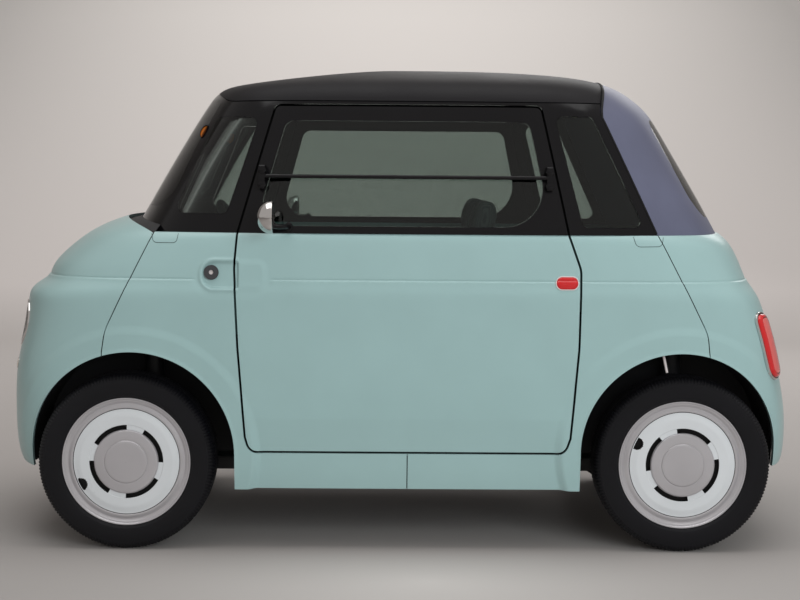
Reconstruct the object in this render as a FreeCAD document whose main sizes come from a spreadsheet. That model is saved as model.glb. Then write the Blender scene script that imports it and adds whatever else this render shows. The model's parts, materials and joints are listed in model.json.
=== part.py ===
import FreeCAD, Part
import math
import os
import Sketcher
from FreeCAD import Placement, Rotation, Vector

# Two-seat electric microcar. Front towards -X, left side towards -Y, +Z up, millimetres.
# The origin is on the ground under the centre of the car.

doc = FreeCAD.newDocument("Microcar")
sheet = doc.addObject("Spreadsheet::Sheet", "Sizes")


class Size:
    """A length with its formula in the sheet's terms, so that a feature can be bound to it."""

    def __init__(self, value, text):
        self.value = float(value)
        self.text = text

    def __float__(self):
        return self.value

    def _join(self, other, sign, result):
        other_text = other.text if isinstance(other, Size) else repr(other)
        return Size(result, "(" + self.text + " " + sign + " " + other_text + ")")

    def __add__(self, other):
        return self._join(other, "+", self.value + float(other))

    def __sub__(self, other):
        return self._join(other, "-", self.value - float(other))

    def __mul__(self, other):
        return self._join(other, "*", self.value * float(other))

    def __truediv__(self, other):
        return self._join(other, "/", self.value / float(other))

    def __neg__(self):
        return Size(-self.value, "(-1 * " + self.text + ")")


class Sizes:
    """Named sizes: each one set on this is also a cell of the sheet."""

    def __init__(self):
        self.row = 0

    def add(self, group, **values):
        """Write a heading and its named sizes into the sheet."""
        self.row += 1
        sheet.set("A" + str(self.row), group)
        for name, value in values.items():
            self.row += 1
            cell = "B" + str(self.row)
            sheet.set("A" + str(self.row), name.replace("_", " "))
            sheet.set(cell, str(value))
            sheet.setAlias(cell, name)
            setattr(self, name, Size(value, "Sizes." + name))


mm = Sizes()

mm.add("whole car", half_length=1267.5, half_width=698, belt_height=987, roof_height=1520,
       wheelbase=1728, axle_middle=8, axle_height=275)
mm.add("clearances", shut_gap=7, seam_gap=3.2, seam_depth=5, seat_gap=0.3, overrun=40, glass_gap=0.6)
mm.add("walls", panel_wall=12, door_wall=36, door_skin=9, door_rebate=17, frame_wall=26,
       glass_wall=5, tub_wall=5)
mm.add("wheels", tyre_radius=275, tyre_width=155, tread_half_width=52, bead_radius=178,
       bead_half_width=56, bulge_radius=228, shoulder_radius=264, shoulder_half_width=70,
       wheel_track_half=585, rim_lip_radius=193, rim_lip_wall=6, rim_wall=7, rim_drop=14,
       cover_radius=169, cover_face=61, cover_wall=7, slot_inner_radius=100, slot_outer_radius=115,
       cap_radius=99, cap_crown=9, boss_radius=66, boss_crown=4, hub_radius=40, hub_depth=44,
       spindle_radius=15, spindle_gap=0.05, slot_sweep=52, slot_count=4)
mm.add("wheel arches", front_arch_x=-836, front_arch_z=302, front_arch_radius=318,
       rear_arch_x=858, rear_arch_z=318, rear_arch_radius=308, housing_inner=345)
mm.add("door outline", door_top=1386, door_top_front=-402, door_top_rear=425,
       door_belt_front=-516, door_belt_rear=511, door_waist_front=-524, door_waist_rear=548,
       door_waist=880, door_mid=640, door_mid_front=-512, door_mid_rear=544,
       door_low=360, door_low_front=-489, door_low_rear=521, door_bottom=308,
       door_bottom_front=-474, door_bottom_rear=503, door_corner=42, door_waist_corner=84,
       door_mid_corner=210, door_belt_corner=168, door_top_corner=24)
mm.add("door window", window_inset=52, window_bottom=1010, window_corner=34, window_front_corner=70,
       window_rear_corner=118)
mm.add("panel splits", nose_split_top=-773, nose_split_knee=-916, nose_split_foot=-926,
       tail_split_top=787, tail_split_knee=938, tail_split_foot=945, split_knee_height=688,
       split_foot_height=620, split_corner=126, sill_bottom=195, sill_split=15, nose_bottom=250, tail_bottom=262)
mm.add("greenhouse", cowl_reach=46, cowl_drop=10, cowl_low=973, roof_edge_height=1396, roof_front_edge_height=1440,
       roof_front_edge=-626, roof_front_knee=-556, canopy_seam_top=652, canopy_seam_edge=609,
       canopy_seam_belt=785, canopy_edge_height=1369)
mm.add("windscreen opening", screen_bottom=1066, screen_top=1404, screen_half_bottom=523,
       screen_half_top=434, screen_corner=60, screen_back=-470)
mm.add("rear window opening", backlight_bottom=1040, backlight_top=1352, backlight_half_bottom=470,
       backlight_half_top=400, backlight_corner=70, backlight_front=640)
mm.add("quarter windows", quarter_front_low=-718, quarter_front_high=-588, quarter_back_low=-548,
       quarter_back_high=-450, quarter_bottom=1046, quarter_top=1346, quarter_corner=22,
       tail_quarter_front_low=552, tail_quarter_front_high=464, tail_quarter_back_low=744,
       tail_quarter_back_high=582, tail_quarter_bottom=1010, tail_quarter_top=1354)


def wheel_x(side):
    """Distance of an axle along the car: side is -1 for the front and 1 for the rear."""
    return mm.axle_middle + mm.wheelbase * (side * 0.5)


# The two curved hulls. Each row is one level: heights, reaches and width as shares of the named
# sizes, two fullness shares that make the plan boxier as they near 1, and the share of a wall's
# thickness that comes off the height instead of the side, for the crowned parts.

lower_level_shares = (
    # height, front reach, rear reach, width, front fullness, rear fullness, lift
    (0.155, 0.905, 0.910, 0.945, 0.82, 0.84, 0.0),
    (0.1925, 0.941, 0.944, 0.957, 0.82, 0.84, 0.0),
    (0.228, 0.974, 0.979, 0.968, 0.83, 0.85, 0.0),
    (0.266, 0.992, 0.996, 0.976, 0.84, 0.86, 0.0),
    (0.335, 0.999, 1.0, 0.984, 0.85, 0.87, 0.0),
    (0.425, 1.0, 0.999, 0.993, 0.85, 0.87, 0.0),
    (0.527, 0.9995, 0.984, 0.999, 0.85, 0.87, 0.0),
    (0.608, 0.990, 0.972, 1.0, 0.84, 0.86, 0.0),
    (0.689, 0.972, 0.955, 1.0, 0.84, 0.86, 0.0),
    (0.765, 0.966, 0.935, 1.0, 0.83, 0.85, 0.0),
    (0.797, 0.966, 0.924, 1.0, 0.82, 0.85, 0.05),
    (0.8205, 0.951, 0.912, 0.9985, 0.80, 0.84, 0.15),
    (0.8415, 0.920, 0.899, 0.990, 0.78, 0.83, 0.2),
    (0.862, 0.915, 0.891, 0.987, 0.76, 0.82, 0.15),
    (0.891, 0.908, 0.884, 0.983, 0.74, 0.80, 0.15),
    (0.932, 0.878, 0.871, 0.976, 0.71, 0.78, 0.3),
    (0.972, 0.840, 0.855, 0.968, 0.69, 0.76, 0.5),
    (1.0, 0.808, 0.830, 0.957, 0.67, 0.74, 0.6),
    (1.028, 0.762, 0.800, 0.905, 0.66, 0.72, 0.9),
    (1.0535, 0.702, 0.770, 0.780, 0.65, 0.70, 1.0),
    (1.072, 0.605, 0.720, 0.600, 0.62, 0.66, 1.0),
    (1.078, 0.460, 0.600, 0.420, 0.60, 0.62, 1.0),
)

upper_level_shares = (
    # front, side and rear height, front reach, rear reach, width, fullness front and rear, lift
    (0.605, 0.605, 0.605, 0.740, 0.858, 0.968, 0.68, 0.74, 0.0),
    (0.6495, 0.6495, 0.6495, 0.706, 0.828, 0.957, 0.68, 0.74, 0.0),
    (0.693, 0.693, 0.693, 0.675, 0.800, 0.946, 0.68, 0.73, 0.0),
    (0.737, 0.737, 0.737, 0.646, 0.770, 0.930, 0.67, 0.72, 0.0),
    (0.790, 0.790, 0.790, 0.609, 0.732, 0.911, 0.67, 0.71, 0.0),
    (0.855, 0.850, 0.855, 0.563, 0.686, 0.886, 0.66, 0.70, 0.0),
    (0.908, 0.893, 0.908, 0.524, 0.648, 0.862, 0.65, 0.69, 0.05),
    (0.937, 0.920, 0.934, 0.500, 0.610, 0.842, 0.64, 0.68, 0.15),
    (0.954, 0.942, 0.952, 0.474, 0.580, 0.812, 0.63, 0.67, 0.45),
    (0.960, 0.960, 0.966, 0.430, 0.544, 0.752, 0.62, 0.65, 0.8),
    (0.969, 0.974, 0.979, 0.345, 0.492, 0.645, 0.60, 0.62, 1.0),
    (0.981, 0.9865, 0.989, 0.235, 0.402, 0.490, 0.57, 0.58, 1.0),
    (0.992, 0.9955, 0.9965, 0.125, 0.260, 0.300, 0.55, 0.55, 1.0),
    (0.9985, 0.9993, 0.9993, 0.060, 0.110, 0.140, 0.55, 0.55, 1.0),
    (1.0, 1.0, 1.0, 0.030, 0.045, 0.060, 0.55, 0.55, 1.0),
)

# How far the plan's corners are drawn in, front and rear, which rounds the nose, tail and glass.
lower_corner_shares = (0.955, 0.935)
upper_corner_shares = (0.90, 0.88)


def lower_rows():
    """Levels of the painted body, with one height for front, side and rear."""
    rows = []
    for height, front, rear, width, full_front, full_rear, lift in lower_level_shares:
        level = height * mm.belt_height.value
        rows.append((level, level, level, front, rear, width, full_front, full_rear, lift,
                     lower_corner_shares))
    return rows


def upper_rows():
    """Levels of the glazed upper part, whose height follows the roof's crown."""
    rows = []
    for front_z, side_z, rear_z, front, rear, width, full_front, full_rear, lift in upper_level_shares:
        top = mm.roof_height.value
        rows.append((front_z * top, side_z * top, rear_z * top, front, rear, width,
                     full_front, full_rear, lift, upper_corner_shares))
    return rows


def quarter_poles(row, inset, way_x, way_y):
    """Five poles of one quarter of a level, from the end of the car round to its side."""
    front_z, side_z, rear_z, front, rear, width, full_front, full_rear, lift, corners = row
    reach = (front if way_x < 0 else rear) * mm.half_length.value - inset
    breadth = width * mm.half_width.value - inset
    full = full_front if way_x < 0 else full_rear
    corner = corners[0] if way_x < 0 else corners[1]
    end_z = (front_z if way_x < 0 else rear_z) - lift * inset
    flank_z = side_z - lift * inset
    corner_z = (end_z + flank_z) / 2
    return [Vector(way_x * reach, 0, end_z),
            Vector(way_x * reach, way_y * full * breadth, end_z),
            Vector(way_x * corner * reach, way_y * breadth, corner_z),
            Vector(way_x * full * reach, way_y * breadth, flank_z),
            Vector(0, way_y * breadth, flank_z)]


def hull(rows, inset):
    """Closed solid through the levels: four quarter surfaces, fourth degree round and third up,
    closed by a flat face below and above."""
    faces = []
    rims = {"low": [], "high": []}
    count = len(rows)
    knots = [i / (count - 3) for i in range(count - 2)]
    mults = [4] + [1] * (count - 4) + [4]
    for way_x, way_y in ((-1, -1), (-1, 1), (1, 1), (1, -1)):
        columns = [quarter_poles(row, inset, way_x, way_y) for row in rows]
        poles = [[columns[level][k] for level in range(count)] for k in range(5)]
        surface = Part.BSplineSurface()
        surface.buildFromPolesMultsKnots(poles, [5, 5], mults, [0, 1], knots, False, False, 4, 3)
        faces.append(surface.toShape())
        for rim, level in (("low", 0), ("high", count - 1)):
            curve = Part.BezierCurve()
            curve.setPoles(columns[level])
            rims[rim].append(curve.toShape())
    for rim in rims.values():
        faces.append(Part.Face(Part.Wire(Part.__sortEdges__(rim))))
    shell = Part.Shell(faces)
    shell.sewShape()
    solid = Part.Solid(shell)
    if solid.Volume < 0:
        solid.reverse()
    return solid


def lower_hull(inset=0.0):
    """The painted body's form, brought in by an inset."""
    return hull(lower_rows(), float(inset))


def upper_hull(inset=0.0):
    """The glazed upper part's form, brought in by an inset."""
    return hull(upper_rows(), float(inset))


def xz(x, z):
    return Vector(float(x), 0, float(z))


def rounded_wire(corners):
    """Closed wire through corners, each a point and a radius, with an arc at each radius."""
    points = [point for point, radius in corners]
    count = len(points)
    starts = []
    ends = []
    arcs = []
    for i, (point, radius) in enumerate(corners):
        before = (points[i - 1] - point).normalize()
        after = (points[(i + 1) % count] - point).normalize()
        radius = float(radius)
        angle = before.getAngle(after)
        if radius <= 0 or angle > math.radians(179):
            starts.append(point)
            ends.append(point)
            arcs.append(None)
            continue
        reach = radius / math.tan(angle / 2)
        middle = (before + after).normalize()
        centre = point + middle * (radius / math.sin(angle / 2))
        starts.append(point + before * reach)
        ends.append(point + after * reach)
        arcs.append(centre - middle * radius)
    edges = []
    for i in range(count):
        if arcs[i] is not None:
            edges.append(Part.Arc(starts[i], arcs[i], ends[i]).toShape())
        following = starts[(i + 1) % count]
        if ends[i].distanceToPoint(following) > 1e-6:
            edges.append(Part.LineSegment(ends[i], following).toShape())
    return Part.Wire(edges)


def across(wire, low, high):
    """Prism of a side-view wire between two distances across the car."""
    face = Part.Face(wire)
    face.translate(Vector(0, float(low), 0))
    return face.extrude(Vector(0, float(high) - float(low), 0))


def block(x0, x1, y0, y1, z0, z1):
    """Box between two corners."""
    sizes = [float(v) for v in (x0, x1, y0, y1, z0, z1)]
    return Part.makeBox(sizes[1] - sizes[0], sizes[3] - sizes[2], sizes[5] - sizes[4],
                        Vector(sizes[0], sizes[2], sizes[4]))


def beyond():
    """A distance across or along the car that is past every piece."""
    return mm.half_length.value + mm.overrun.value


def one_solid(shape):
    """The shape's largest solid, without slivers that a cut leaves."""
    return max(shape.Solids, key=lambda solid: solid.Volume)


def feature(name, shape):
    """A sub-part whose shape is set here from the sheet's sizes."""
    item = doc.addObject("Part::Feature", name)
    item.Label = name
    item.Shape = shape
    subparts.append(item)
    return item


subparts = []
FRONT = -1
REAR = 1
SIDES = (("left", -1), ("right", 1))
ENDS = (("front", FRONT), ("rear", REAR))


# Outlines of openings and splits in the side view.

def door_corners(grow=0.0):
    """Door outline in the side view, from the top front corner round over the rear edge."""
    corners = [
        (xz(mm.door_top_front, mm.door_top), mm.door_top_corner),
        (xz(mm.door_top_rear, mm.door_top), mm.door_top_corner),
        (xz(mm.door_belt_rear, mm.belt_height), mm.door_belt_corner),
        (xz(mm.door_waist_rear, mm.door_waist), mm.door_waist_corner),
        (xz(mm.door_mid_rear, mm.door_mid), mm.door_mid_corner),
        (xz(mm.door_low_rear, mm.door_low), 0),
        (xz(mm.door_bottom_rear, mm.door_bottom), mm.door_corner),
        (xz(mm.door_bottom_front, mm.door_bottom), mm.door_corner),
        (xz(mm.door_low_front, mm.door_low), 0),
        (xz(mm.door_mid_front, mm.door_mid), mm.door_mid_corner),
        (xz(mm.door_waist_front, mm.door_waist), mm.door_waist_corner),
        (xz(mm.door_belt_front, mm.belt_height), mm.door_waist_corner),
    ]
    wire = rounded_wire(corners)
    if grow:
        wire = wire.makeOffset2D(float(grow))
    return wire


def window_wire(grow=0.0):
    """Glazed opening of the door, a margin inside its upper outline."""
    lean_front = (mm.door_top_front.value - mm.door_belt_front.value)
    lean_rear = (mm.door_top_rear.value - mm.door_belt_rear.value)
    rise = mm.door_top.value - mm.belt_height.value
    top = mm.door_top.value - mm.window_inset.value
    bottom = mm.window_bottom.value
    low_share = (bottom - mm.belt_height.value) / rise
    high_share = (top - mm.belt_height.value) / rise
    margin = mm.window_inset.value
    corners = [
        (xz(mm.door_belt_front.value + lean_front * high_share + margin, top), mm.window_corner),
        (xz(mm.door_belt_rear.value + lean_rear * high_share - margin, top), mm.window_corner),
        (xz(mm.door_belt_rear.value + lean_rear * low_share - margin, bottom), mm.window_rear_corner),
        (xz(mm.door_belt_front.value + lean_front * low_share + margin, bottom), mm.window_front_corner),
    ]
    wire = rounded_wire(corners)
    if grow:
        wire = wire.makeOffset2D(float(grow))
    return wire


def quarter_wire(end, grow=0.0):
    """Side window ahead of the door or behind it."""
    if end == FRONT:
        corners = [
            (xz(mm.quarter_front_high, mm.quarter_top), mm.quarter_corner),
            (xz(mm.quarter_back_high, mm.quarter_top), mm.quarter_corner),
            (xz(mm.quarter_back_low, mm.quarter_bottom), mm.quarter_corner),
            (xz(mm.quarter_front_low, mm.quarter_bottom), mm.quarter_corner),
        ]
    else:
        corners = [
            (xz(mm.tail_quarter_front_high, mm.tail_quarter_top), mm.quarter_corner),
            (xz(mm.tail_quarter_back_high, mm.tail_quarter_top), mm.quarter_corner),
            (xz(mm.tail_quarter_back_low, mm.tail_quarter_bottom), mm.quarter_corner),
            (xz(mm.tail_quarter_front_low, mm.tail_quarter_bottom), mm.quarter_corner),
        ]
    wire = rounded_wire(corners)
    if grow:
        wire = wire.makeOffset2D(float(grow))
    return wire


def end_window(end, grow=0.0):
    """Prism along the car through the windscreen or the rear window."""
    if end == FRONT:
        low, high = mm.screen_bottom.value, mm.screen_top.value
        wide, narrow = mm.screen_half_bottom.value, mm.screen_half_top.value
        corner = mm.screen_corner.value
        start, stop = -beyond(), mm.screen_back.value
    else:
        low, high = mm.backlight_bottom.value, mm.backlight_top.value
        wide, narrow = mm.backlight_half_bottom.value, mm.backlight_half_top.value
        corner = mm.backlight_corner.value
        start, stop = mm.backlight_front.value, beyond()
    corners = [(Vector(0, -wide, low), corner), (Vector(0, wide, low), corner),
               (Vector(0, narrow, high), corner), (Vector(0, -narrow, high), corner)]
    wire = rounded_wire(corners)
    if grow:
        wire = wire.makeOffset2D(float(grow))
    face = Part.Face(wire)
    face.translate(Vector(start, 0, 0))
    return face.extrude(Vector(stop - start, 0, 0))


def split_region(end, gap):
    """Everything beyond the shut line between an end panel and the wings beside it."""
    if end == FRONT:
        top, knee, foot = mm.nose_split_top.value, mm.nose_split_knee.value, mm.nose_split_foot.value
    else:
        top, knee, foot = mm.tail_split_top.value, mm.tail_split_knee.value, mm.tail_split_foot.value
    shift = end * float(gap)
    lean = (knee - top) / (mm.belt_height.value - mm.split_knee_height.value)
    roof = mm.roof_height.value
    high = top - lean * (roof - mm.belt_height.value)
    far = end * beyond()
    corners = [
        (xz(high + shift, roof), 0),
        (xz(top + shift, mm.belt_height), 0),
        (xz(knee + shift, mm.split_knee_height), mm.split_corner),
        (xz(foot + shift, mm.split_foot_height), 0),
        (xz(foot + shift, 0), 0),
        (xz(far, 0), 0),
        (xz(far, roof), 0),
    ]
    return across(rounded_wire(corners), -beyond(), beyond())


def arch_centre(end):
    if end == FRONT:
        return mm.front_arch_x.value, mm.front_arch_z.value, mm.front_arch_radius.value
    return mm.rear_arch_x.value, mm.rear_arch_z.value, mm.rear_arch_radius.value


def arch_tool(end, way, grow=0.0):
    """Round opening for a wheel on one side, from its housing's inner wall outwards."""
    x, z, radius = arch_centre(end)
    depth = mm.half_width.value + mm.overrun.value - mm.housing_inner.value
    start = mm.housing_inner.value - float(grow)
    tool = Part.makeCylinder(radius + float(grow), depth + float(grow),
                             Vector(x, way * start, z), Vector(0, way, 0))
    below = block(x - radius - float(grow), x + radius + float(grow),
                  min(way * start, way * (start + depth)), max(way * start, way * (start + depth)),
                  0, z)
    return tool.fuse(below)


def text(value):
    """A value as a term of a formula."""
    return value.text if isinstance(value, Size) else repr(float(value))


def bind_place(item, x, y, z):
    """Tie an object's place to the sheet."""
    for axis, value in (("x", x), ("y", y), ("z", z)):
        item.setExpression("Placement.Base." + axis, text(value))


def bar(name, x0, x1, y0, y1, z0, z1):
    """Box between two corners, bound to the sheet."""
    item = doc.addObject("Part::Box", name)
    for prop, low, high in (("Length", x0, x1), ("Width", y0, y1), ("Height", z0, z1)):
        item.setExpression(prop, text(high) + " - " + text(low))
    bind_place(item, x0, y0, z0)
    return item


TURNS = {"x": Rotation(Vector(0, 1, 0), 90), "y": Rotation(Vector(1, 0, 0), -90), "z": Rotation()}


def rod(name, radius, length, x, y, z, axis):
    """Cylinder along one axis from its lower end, bound to the sheet."""
    item = doc.addObject("Part::Cylinder", name)
    item.setExpression("Radius", text(radius))
    item.setExpression("Height", text(length))
    item.Placement = Placement(Vector(), TURNS[axis])
    bind_place(item, x, y, z)
    return item


def welded(name, pieces):
    """Sub-part fused from primitives."""
    item = doc.addObject("Part::MultiFuse", name)
    item.Label = name
    item.Shapes = pieces
    subparts.append(item)
    return item


def span(way, near, far):
    """Lower and higher distance across the car on one side."""
    return (near, far) if way > 0 else (-far, -near)


lower_solid = lower_hull()
body_shell = lower_solid.cut(lower_hull(mm.panel_wall))
below_belt = block(-beyond(), beyond(), -beyond(), beyond(), 0, mm.belt_height + mm.seat_gap)
upper_solid = upper_hull().cut(below_belt)
upper_shell = upper_solid.cut(upper_hull(mm.frame_wall))
half_groove = mm.seam_gap.value / 2
half_seat = mm.seat_gap.value / 2


def half_space(way):
    """Everything on one side of the car."""
    return block(-beyond(), beyond(), min(0, way * beyond()), max(0, way * beyond()),
                 -mm.overrun.value, mm.roof_height + mm.overrun)


def surface_y(solid, x, z):
    """Distance from the car's middle to a hull's side at one place."""
    probe = Part.makeLine(Vector(float(x), -beyond(), float(z)), Vector(float(x), 0, float(z)))
    return -solid.common(probe).BoundBox.YMin


# Painted body panels

def above_belt():
    """Space above the painted top edge, behind the bonnet and ahead of the tail."""
    corners = [
        (xz(mm.nose_split_top - mm.overrun, mm.belt_height), 0),
        (xz(mm.tail_split_top + mm.overrun, mm.belt_height), 0),
        (xz(mm.tail_split_top + mm.overrun, mm.roof_height + mm.overrun), 0),
        (xz(mm.nose_split_top - mm.overrun, mm.roof_height + mm.overrun), 0),
    ]
    return across(rounded_wire(corners), -beyond(), beyond())


def body_grooves():
    """Shallow dark grooves along the shut lines of the fixed painted panels."""
    skin = lower_solid.cut(lower_hull(mm.seam_depth.value))
    bands = []
    for name, end in ENDS:
        band = split_region(end, -half_groove).cut(split_region(end, half_groove))
        bands.append(skin.common(band))
    sill_band = block(mm.sill_split.value - half_groove, mm.sill_split.value + half_groove,
                      -beyond(), beyond(), 0, mm.belt_height / 2)
    bands.append(skin.common(sill_band))
    return bands


def under_cowl(drop):
    """Everything lower than the scuttle's lowest corner."""
    return block(-beyond(), beyond(), -beyond(), beyond(), 0, mm.cowl_low.value - drop)


def end_panels(grooves):
    """Bonnet with nose, and tail, each one moulding from side to side."""
    cowl_space = upper_hull(-mm.cowl_reach).cut(under_cowl(0.0))
    for name, end in ENDS:
        panel = body_shell.common(split_region(end, half_seat))
        for side, way in SIDES:
            panel = panel.cut(arch_tool(end, way))
        if end == FRONT:
            panel = panel.cut(cowl_space)
            panel = panel.cut(block(-beyond(), 0, -beyond(), beyond(), 0, mm.nose_bottom))
            panel_name = "front_panel"
        else:
            panel = panel.cut(block(0, beyond(), -beyond(), beyond(), mm.belt_height, mm.roof_height))
            panel = panel.cut(block(0, beyond(), -beyond(), beyond(), 0, mm.tail_bottom))
            panel_name = "rear_panel"
        panel = panel.cut(grooves[(end + 1) // 2])
        for hole in lamp_holes(end):
            panel = panel.cut(hole)
        feature(panel_name, one_solid(panel))


def paired(name, shape):
    """The left-hand piece and its mirror image on the right."""
    feature(name + "_left", shape)
    feature(name + "_right", shape.mirror(Vector(), Vector(0, 1, 0)))


def wings(grooves):
    """Side panels ahead of and behind the doors, each with its half of the sill."""
    side_slab = block(-beyond(), beyond(), -beyond(), -mm.housing_inner.value, mm.sill_bottom, mm.roof_height)
    sides = body_shell.common(side_slab).cut(across(door_corners(), -beyond(), 0)).cut(above_belt())
    for name, end in ENDS:
        edge = mm.sill_split.value + end * half_seat
        half = block(min(edge, end * beyond()), max(edge, end * beyond()), -beyond(), 0,
                     0, mm.roof_height)
        part = sides.cut(split_region(end, -half_seat)).common(half).cut(arch_tool(end, -1))
        part = part.cut(grooves[(end + 1) // 2]).cut(grooves[2])
        paired("wing_" + name, one_solid(part))


mm.add("lamps", headlamp_y=432, headlamp_z=690, headlamp_radius=74, lamp_proud=6, lamp_depth=34,
       tail_lamp_y=545, tail_lamp_half=44, tail_lamp_low=532, tail_lamp_high=746, tail_lamp_corner=38,
       tail_lamp_proud=14)


def headlamp_tool(way, grow=0.0):
    """Round prism along the car at a headlamp."""
    return Part.makeCylinder(mm.headlamp_radius.value + grow, mm.half_length.value,
                             Vector(-beyond(), way * mm.headlamp_y.value, mm.headlamp_z.value),
                             Vector(1, 0, 0))


def tail_lamp_tool(way, grow=0.0):
    """Tall rounded prism along the car at a tail lamp."""
    middle = way * mm.tail_lamp_y.value
    half = mm.tail_lamp_half.value
    corners = [(Vector(0, middle - half, mm.tail_lamp_low.value), mm.tail_lamp_corner),
               (Vector(0, middle + half, mm.tail_lamp_low.value), mm.tail_lamp_corner),
               (Vector(0, middle + half, mm.tail_lamp_high.value), mm.tail_lamp_corner),
               (Vector(0, middle - half, mm.tail_lamp_high.value), mm.tail_lamp_corner)]
    wire = rounded_wire(corners)
    if grow:
        wire = wire.makeOffset2D(grow)
    face = Part.Face(wire)
    face.translate(Vector(mm.half_length.value / 2, 0, 0))
    return face.extrude(Vector(beyond(), 0, 0))


def lamp_holes(end):
    tool = headlamp_tool if end == FRONT else tail_lamp_tool
    return [tool(way, mm.seat_gap.value) for side, way in SIDES]


def lamps():
    """Round headlamps in the nose and tall lamps in the tail."""
    for name, tool, proud in (("headlamps", headlamp_tool, mm.lamp_proud),
                              ("tail_lamps", tail_lamp_tool, mm.tail_lamp_proud)):
        layer = lower_hull(-proud.value).cut(lower_hull(mm.lamp_depth.value))
        feature(name, Part.Compound([one_solid(layer.common(tool(way))) for side, way in SIDES]))


shut_grooves = body_grooves()
end_panels(shut_grooves)
wings(shut_grooves)
lamps()


# Doors: painted lower part, black window surround and glass

def door_layers(form, wall):
    """Left door cut from one hull: a thin skin out to the shut line and a thicker rebated inside."""
    inner = mm.half_width.value / 2
    slab = block(-mm.half_length, mm.half_length, -beyond(), -inner, mm.sill_bottom, mm.roof_height)
    skin = form(0.0).common(across(door_corners(-mm.shut_gap), -beyond(), -inner))
    skin = skin.common(slab).cut(form(mm.door_skin))
    inside = form(mm.door_skin).common(across(door_corners(-mm.door_rebate), -beyond(), -inner))
    inside = inside.common(slab).cut(form(wall))
    return skin.fuse(inside)


mm.add("window bar", bar_height=1162, bar_radius=6, bar_front=-437, bar_rear=446, bar_stand=16,
       bracket_half=9, bracket_low=1122, bracket_high=1196)


def window_bar():
    """Thin rail across the left door's window, with an upright bracket at each end."""
    rail_y = surface_y(upper_solid, 0, mm.bar_height) + mm.bar_stand.value
    pieces = [Part.makeCylinder(mm.bar_radius.value, mm.bar_rear.value - mm.bar_front.value,
                                Vector(mm.bar_front.value, -rail_y, mm.bar_height.value),
                                Vector(1, 0, 0))]
    sink = mm.glass_wall.value * 3
    for x in (mm.bar_front.value, mm.bar_rear.value):
        foot = surface_y(upper_solid, x, mm.bracket_low) - sink
        head = surface_y(upper_solid, x, mm.bracket_high) - sink
        start = x - mm.bracket_half.value
        outer = rail_y + mm.bar_radius.value
        corners = [(Vector(start, -foot, mm.bracket_low.value), 0),
                   (Vector(start, -outer, mm.bracket_low.value), mm.bar_radius),
                   (Vector(start, -outer, mm.bracket_high.value), mm.bar_radius),
                   (Vector(start, -head, mm.bracket_high.value), 0)]
        face = Part.Face(rounded_wire(corners))
        pieces.append(face.extrude(Vector(2 * mm.bracket_half.value, 0, 0)))
    return pieces[0].multiFuse(pieces[1:])


def doors():
    """Painted door, black surround with the window bar, and glass, each for both sides."""
    inner = mm.half_width.value - mm.door_wall.value * 2
    painted = door_layers(lower_hull, mm.door_wall)
    painted = painted.cut(block(-beyond(), beyond(), -inner, inner, 0, mm.roof_height))
    painted = painted.cut(block(-beyond(), beyond(), -beyond(), beyond(), mm.belt_height, mm.roof_height))
    surround = door_layers(upper_hull, mm.frame_wall).cut(across(window_wire(), -beyond(), 0))
    surround = one_solid(surround.cut(below_belt)).fuse(window_bar())
    pane = upper_solid.common(across(window_wire(-mm.seat_gap), -beyond(), 0)).cut(upper_hull(mm.glass_wall))
    paired("door", one_solid(painted))
    paired("door_frame", surround)
    paired("door_glass", one_solid(pane))


doors()


# Greenhouse

def roof_region(gap=0.0):
    """Side-view region of the roof panel, ahead of the rear canopy's seam."""
    high = mm.roof_height.value + mm.overrun.value
    lean = ((mm.canopy_seam_top.value - mm.canopy_seam_edge.value)
            / (mm.roof_height.value - mm.canopy_edge_height.value))
    seam_low = mm.canopy_seam_edge.value + lean * (mm.roof_edge_height.value - mm.canopy_edge_height.value)
    seam_high = mm.canopy_seam_edge.value + lean * (high - mm.canopy_edge_height.value)
    front = mm.roof_front_edge.value - mm.overrun.value * 2
    corners = [
        (xz(front, mm.roof_front_edge_height.value + gap), 0),
        (xz(mm.roof_front_edge, mm.roof_front_edge_height.value + gap), 0),
        (xz(mm.roof_front_knee, mm.roof_edge_height.value + gap), mm.door_waist_corner),
        (xz(seam_low - gap, mm.roof_edge_height.value + gap), 0),
        (xz(seam_high - gap, high), 0),
        (xz(front, high), 0),
    ]
    return across(rounded_wire(corners), -beyond(), beyond())


def canopy_region(gap=0.0):
    """Side-view region behind the seam from the roof down to the belt."""
    high = mm.roof_height.value + mm.overrun.value
    lean = ((mm.canopy_seam_top.value - mm.canopy_seam_edge.value)
            / (mm.roof_height.value - mm.canopy_edge_height.value))
    slope = ((mm.canopy_seam_belt.value - mm.canopy_seam_edge.value)
             / (mm.canopy_edge_height.value - mm.belt_height.value))
    base = mm.belt_height.value - mm.overrun.value
    corners = [
        (xz(mm.canopy_seam_edge.value + lean * (high - mm.canopy_edge_height.value) + gap, high), 0),
        (xz(mm.canopy_seam_edge.value + gap, mm.canopy_edge_height), mm.door_corner),
        (xz(mm.canopy_seam_belt.value + slope * mm.overrun.value + gap, base), 0),
        (xz(beyond(), base), 0),
        (xz(beyond(), high), 0),
    ]
    return across(rounded_wire(corners), -beyond(), beyond())


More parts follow.
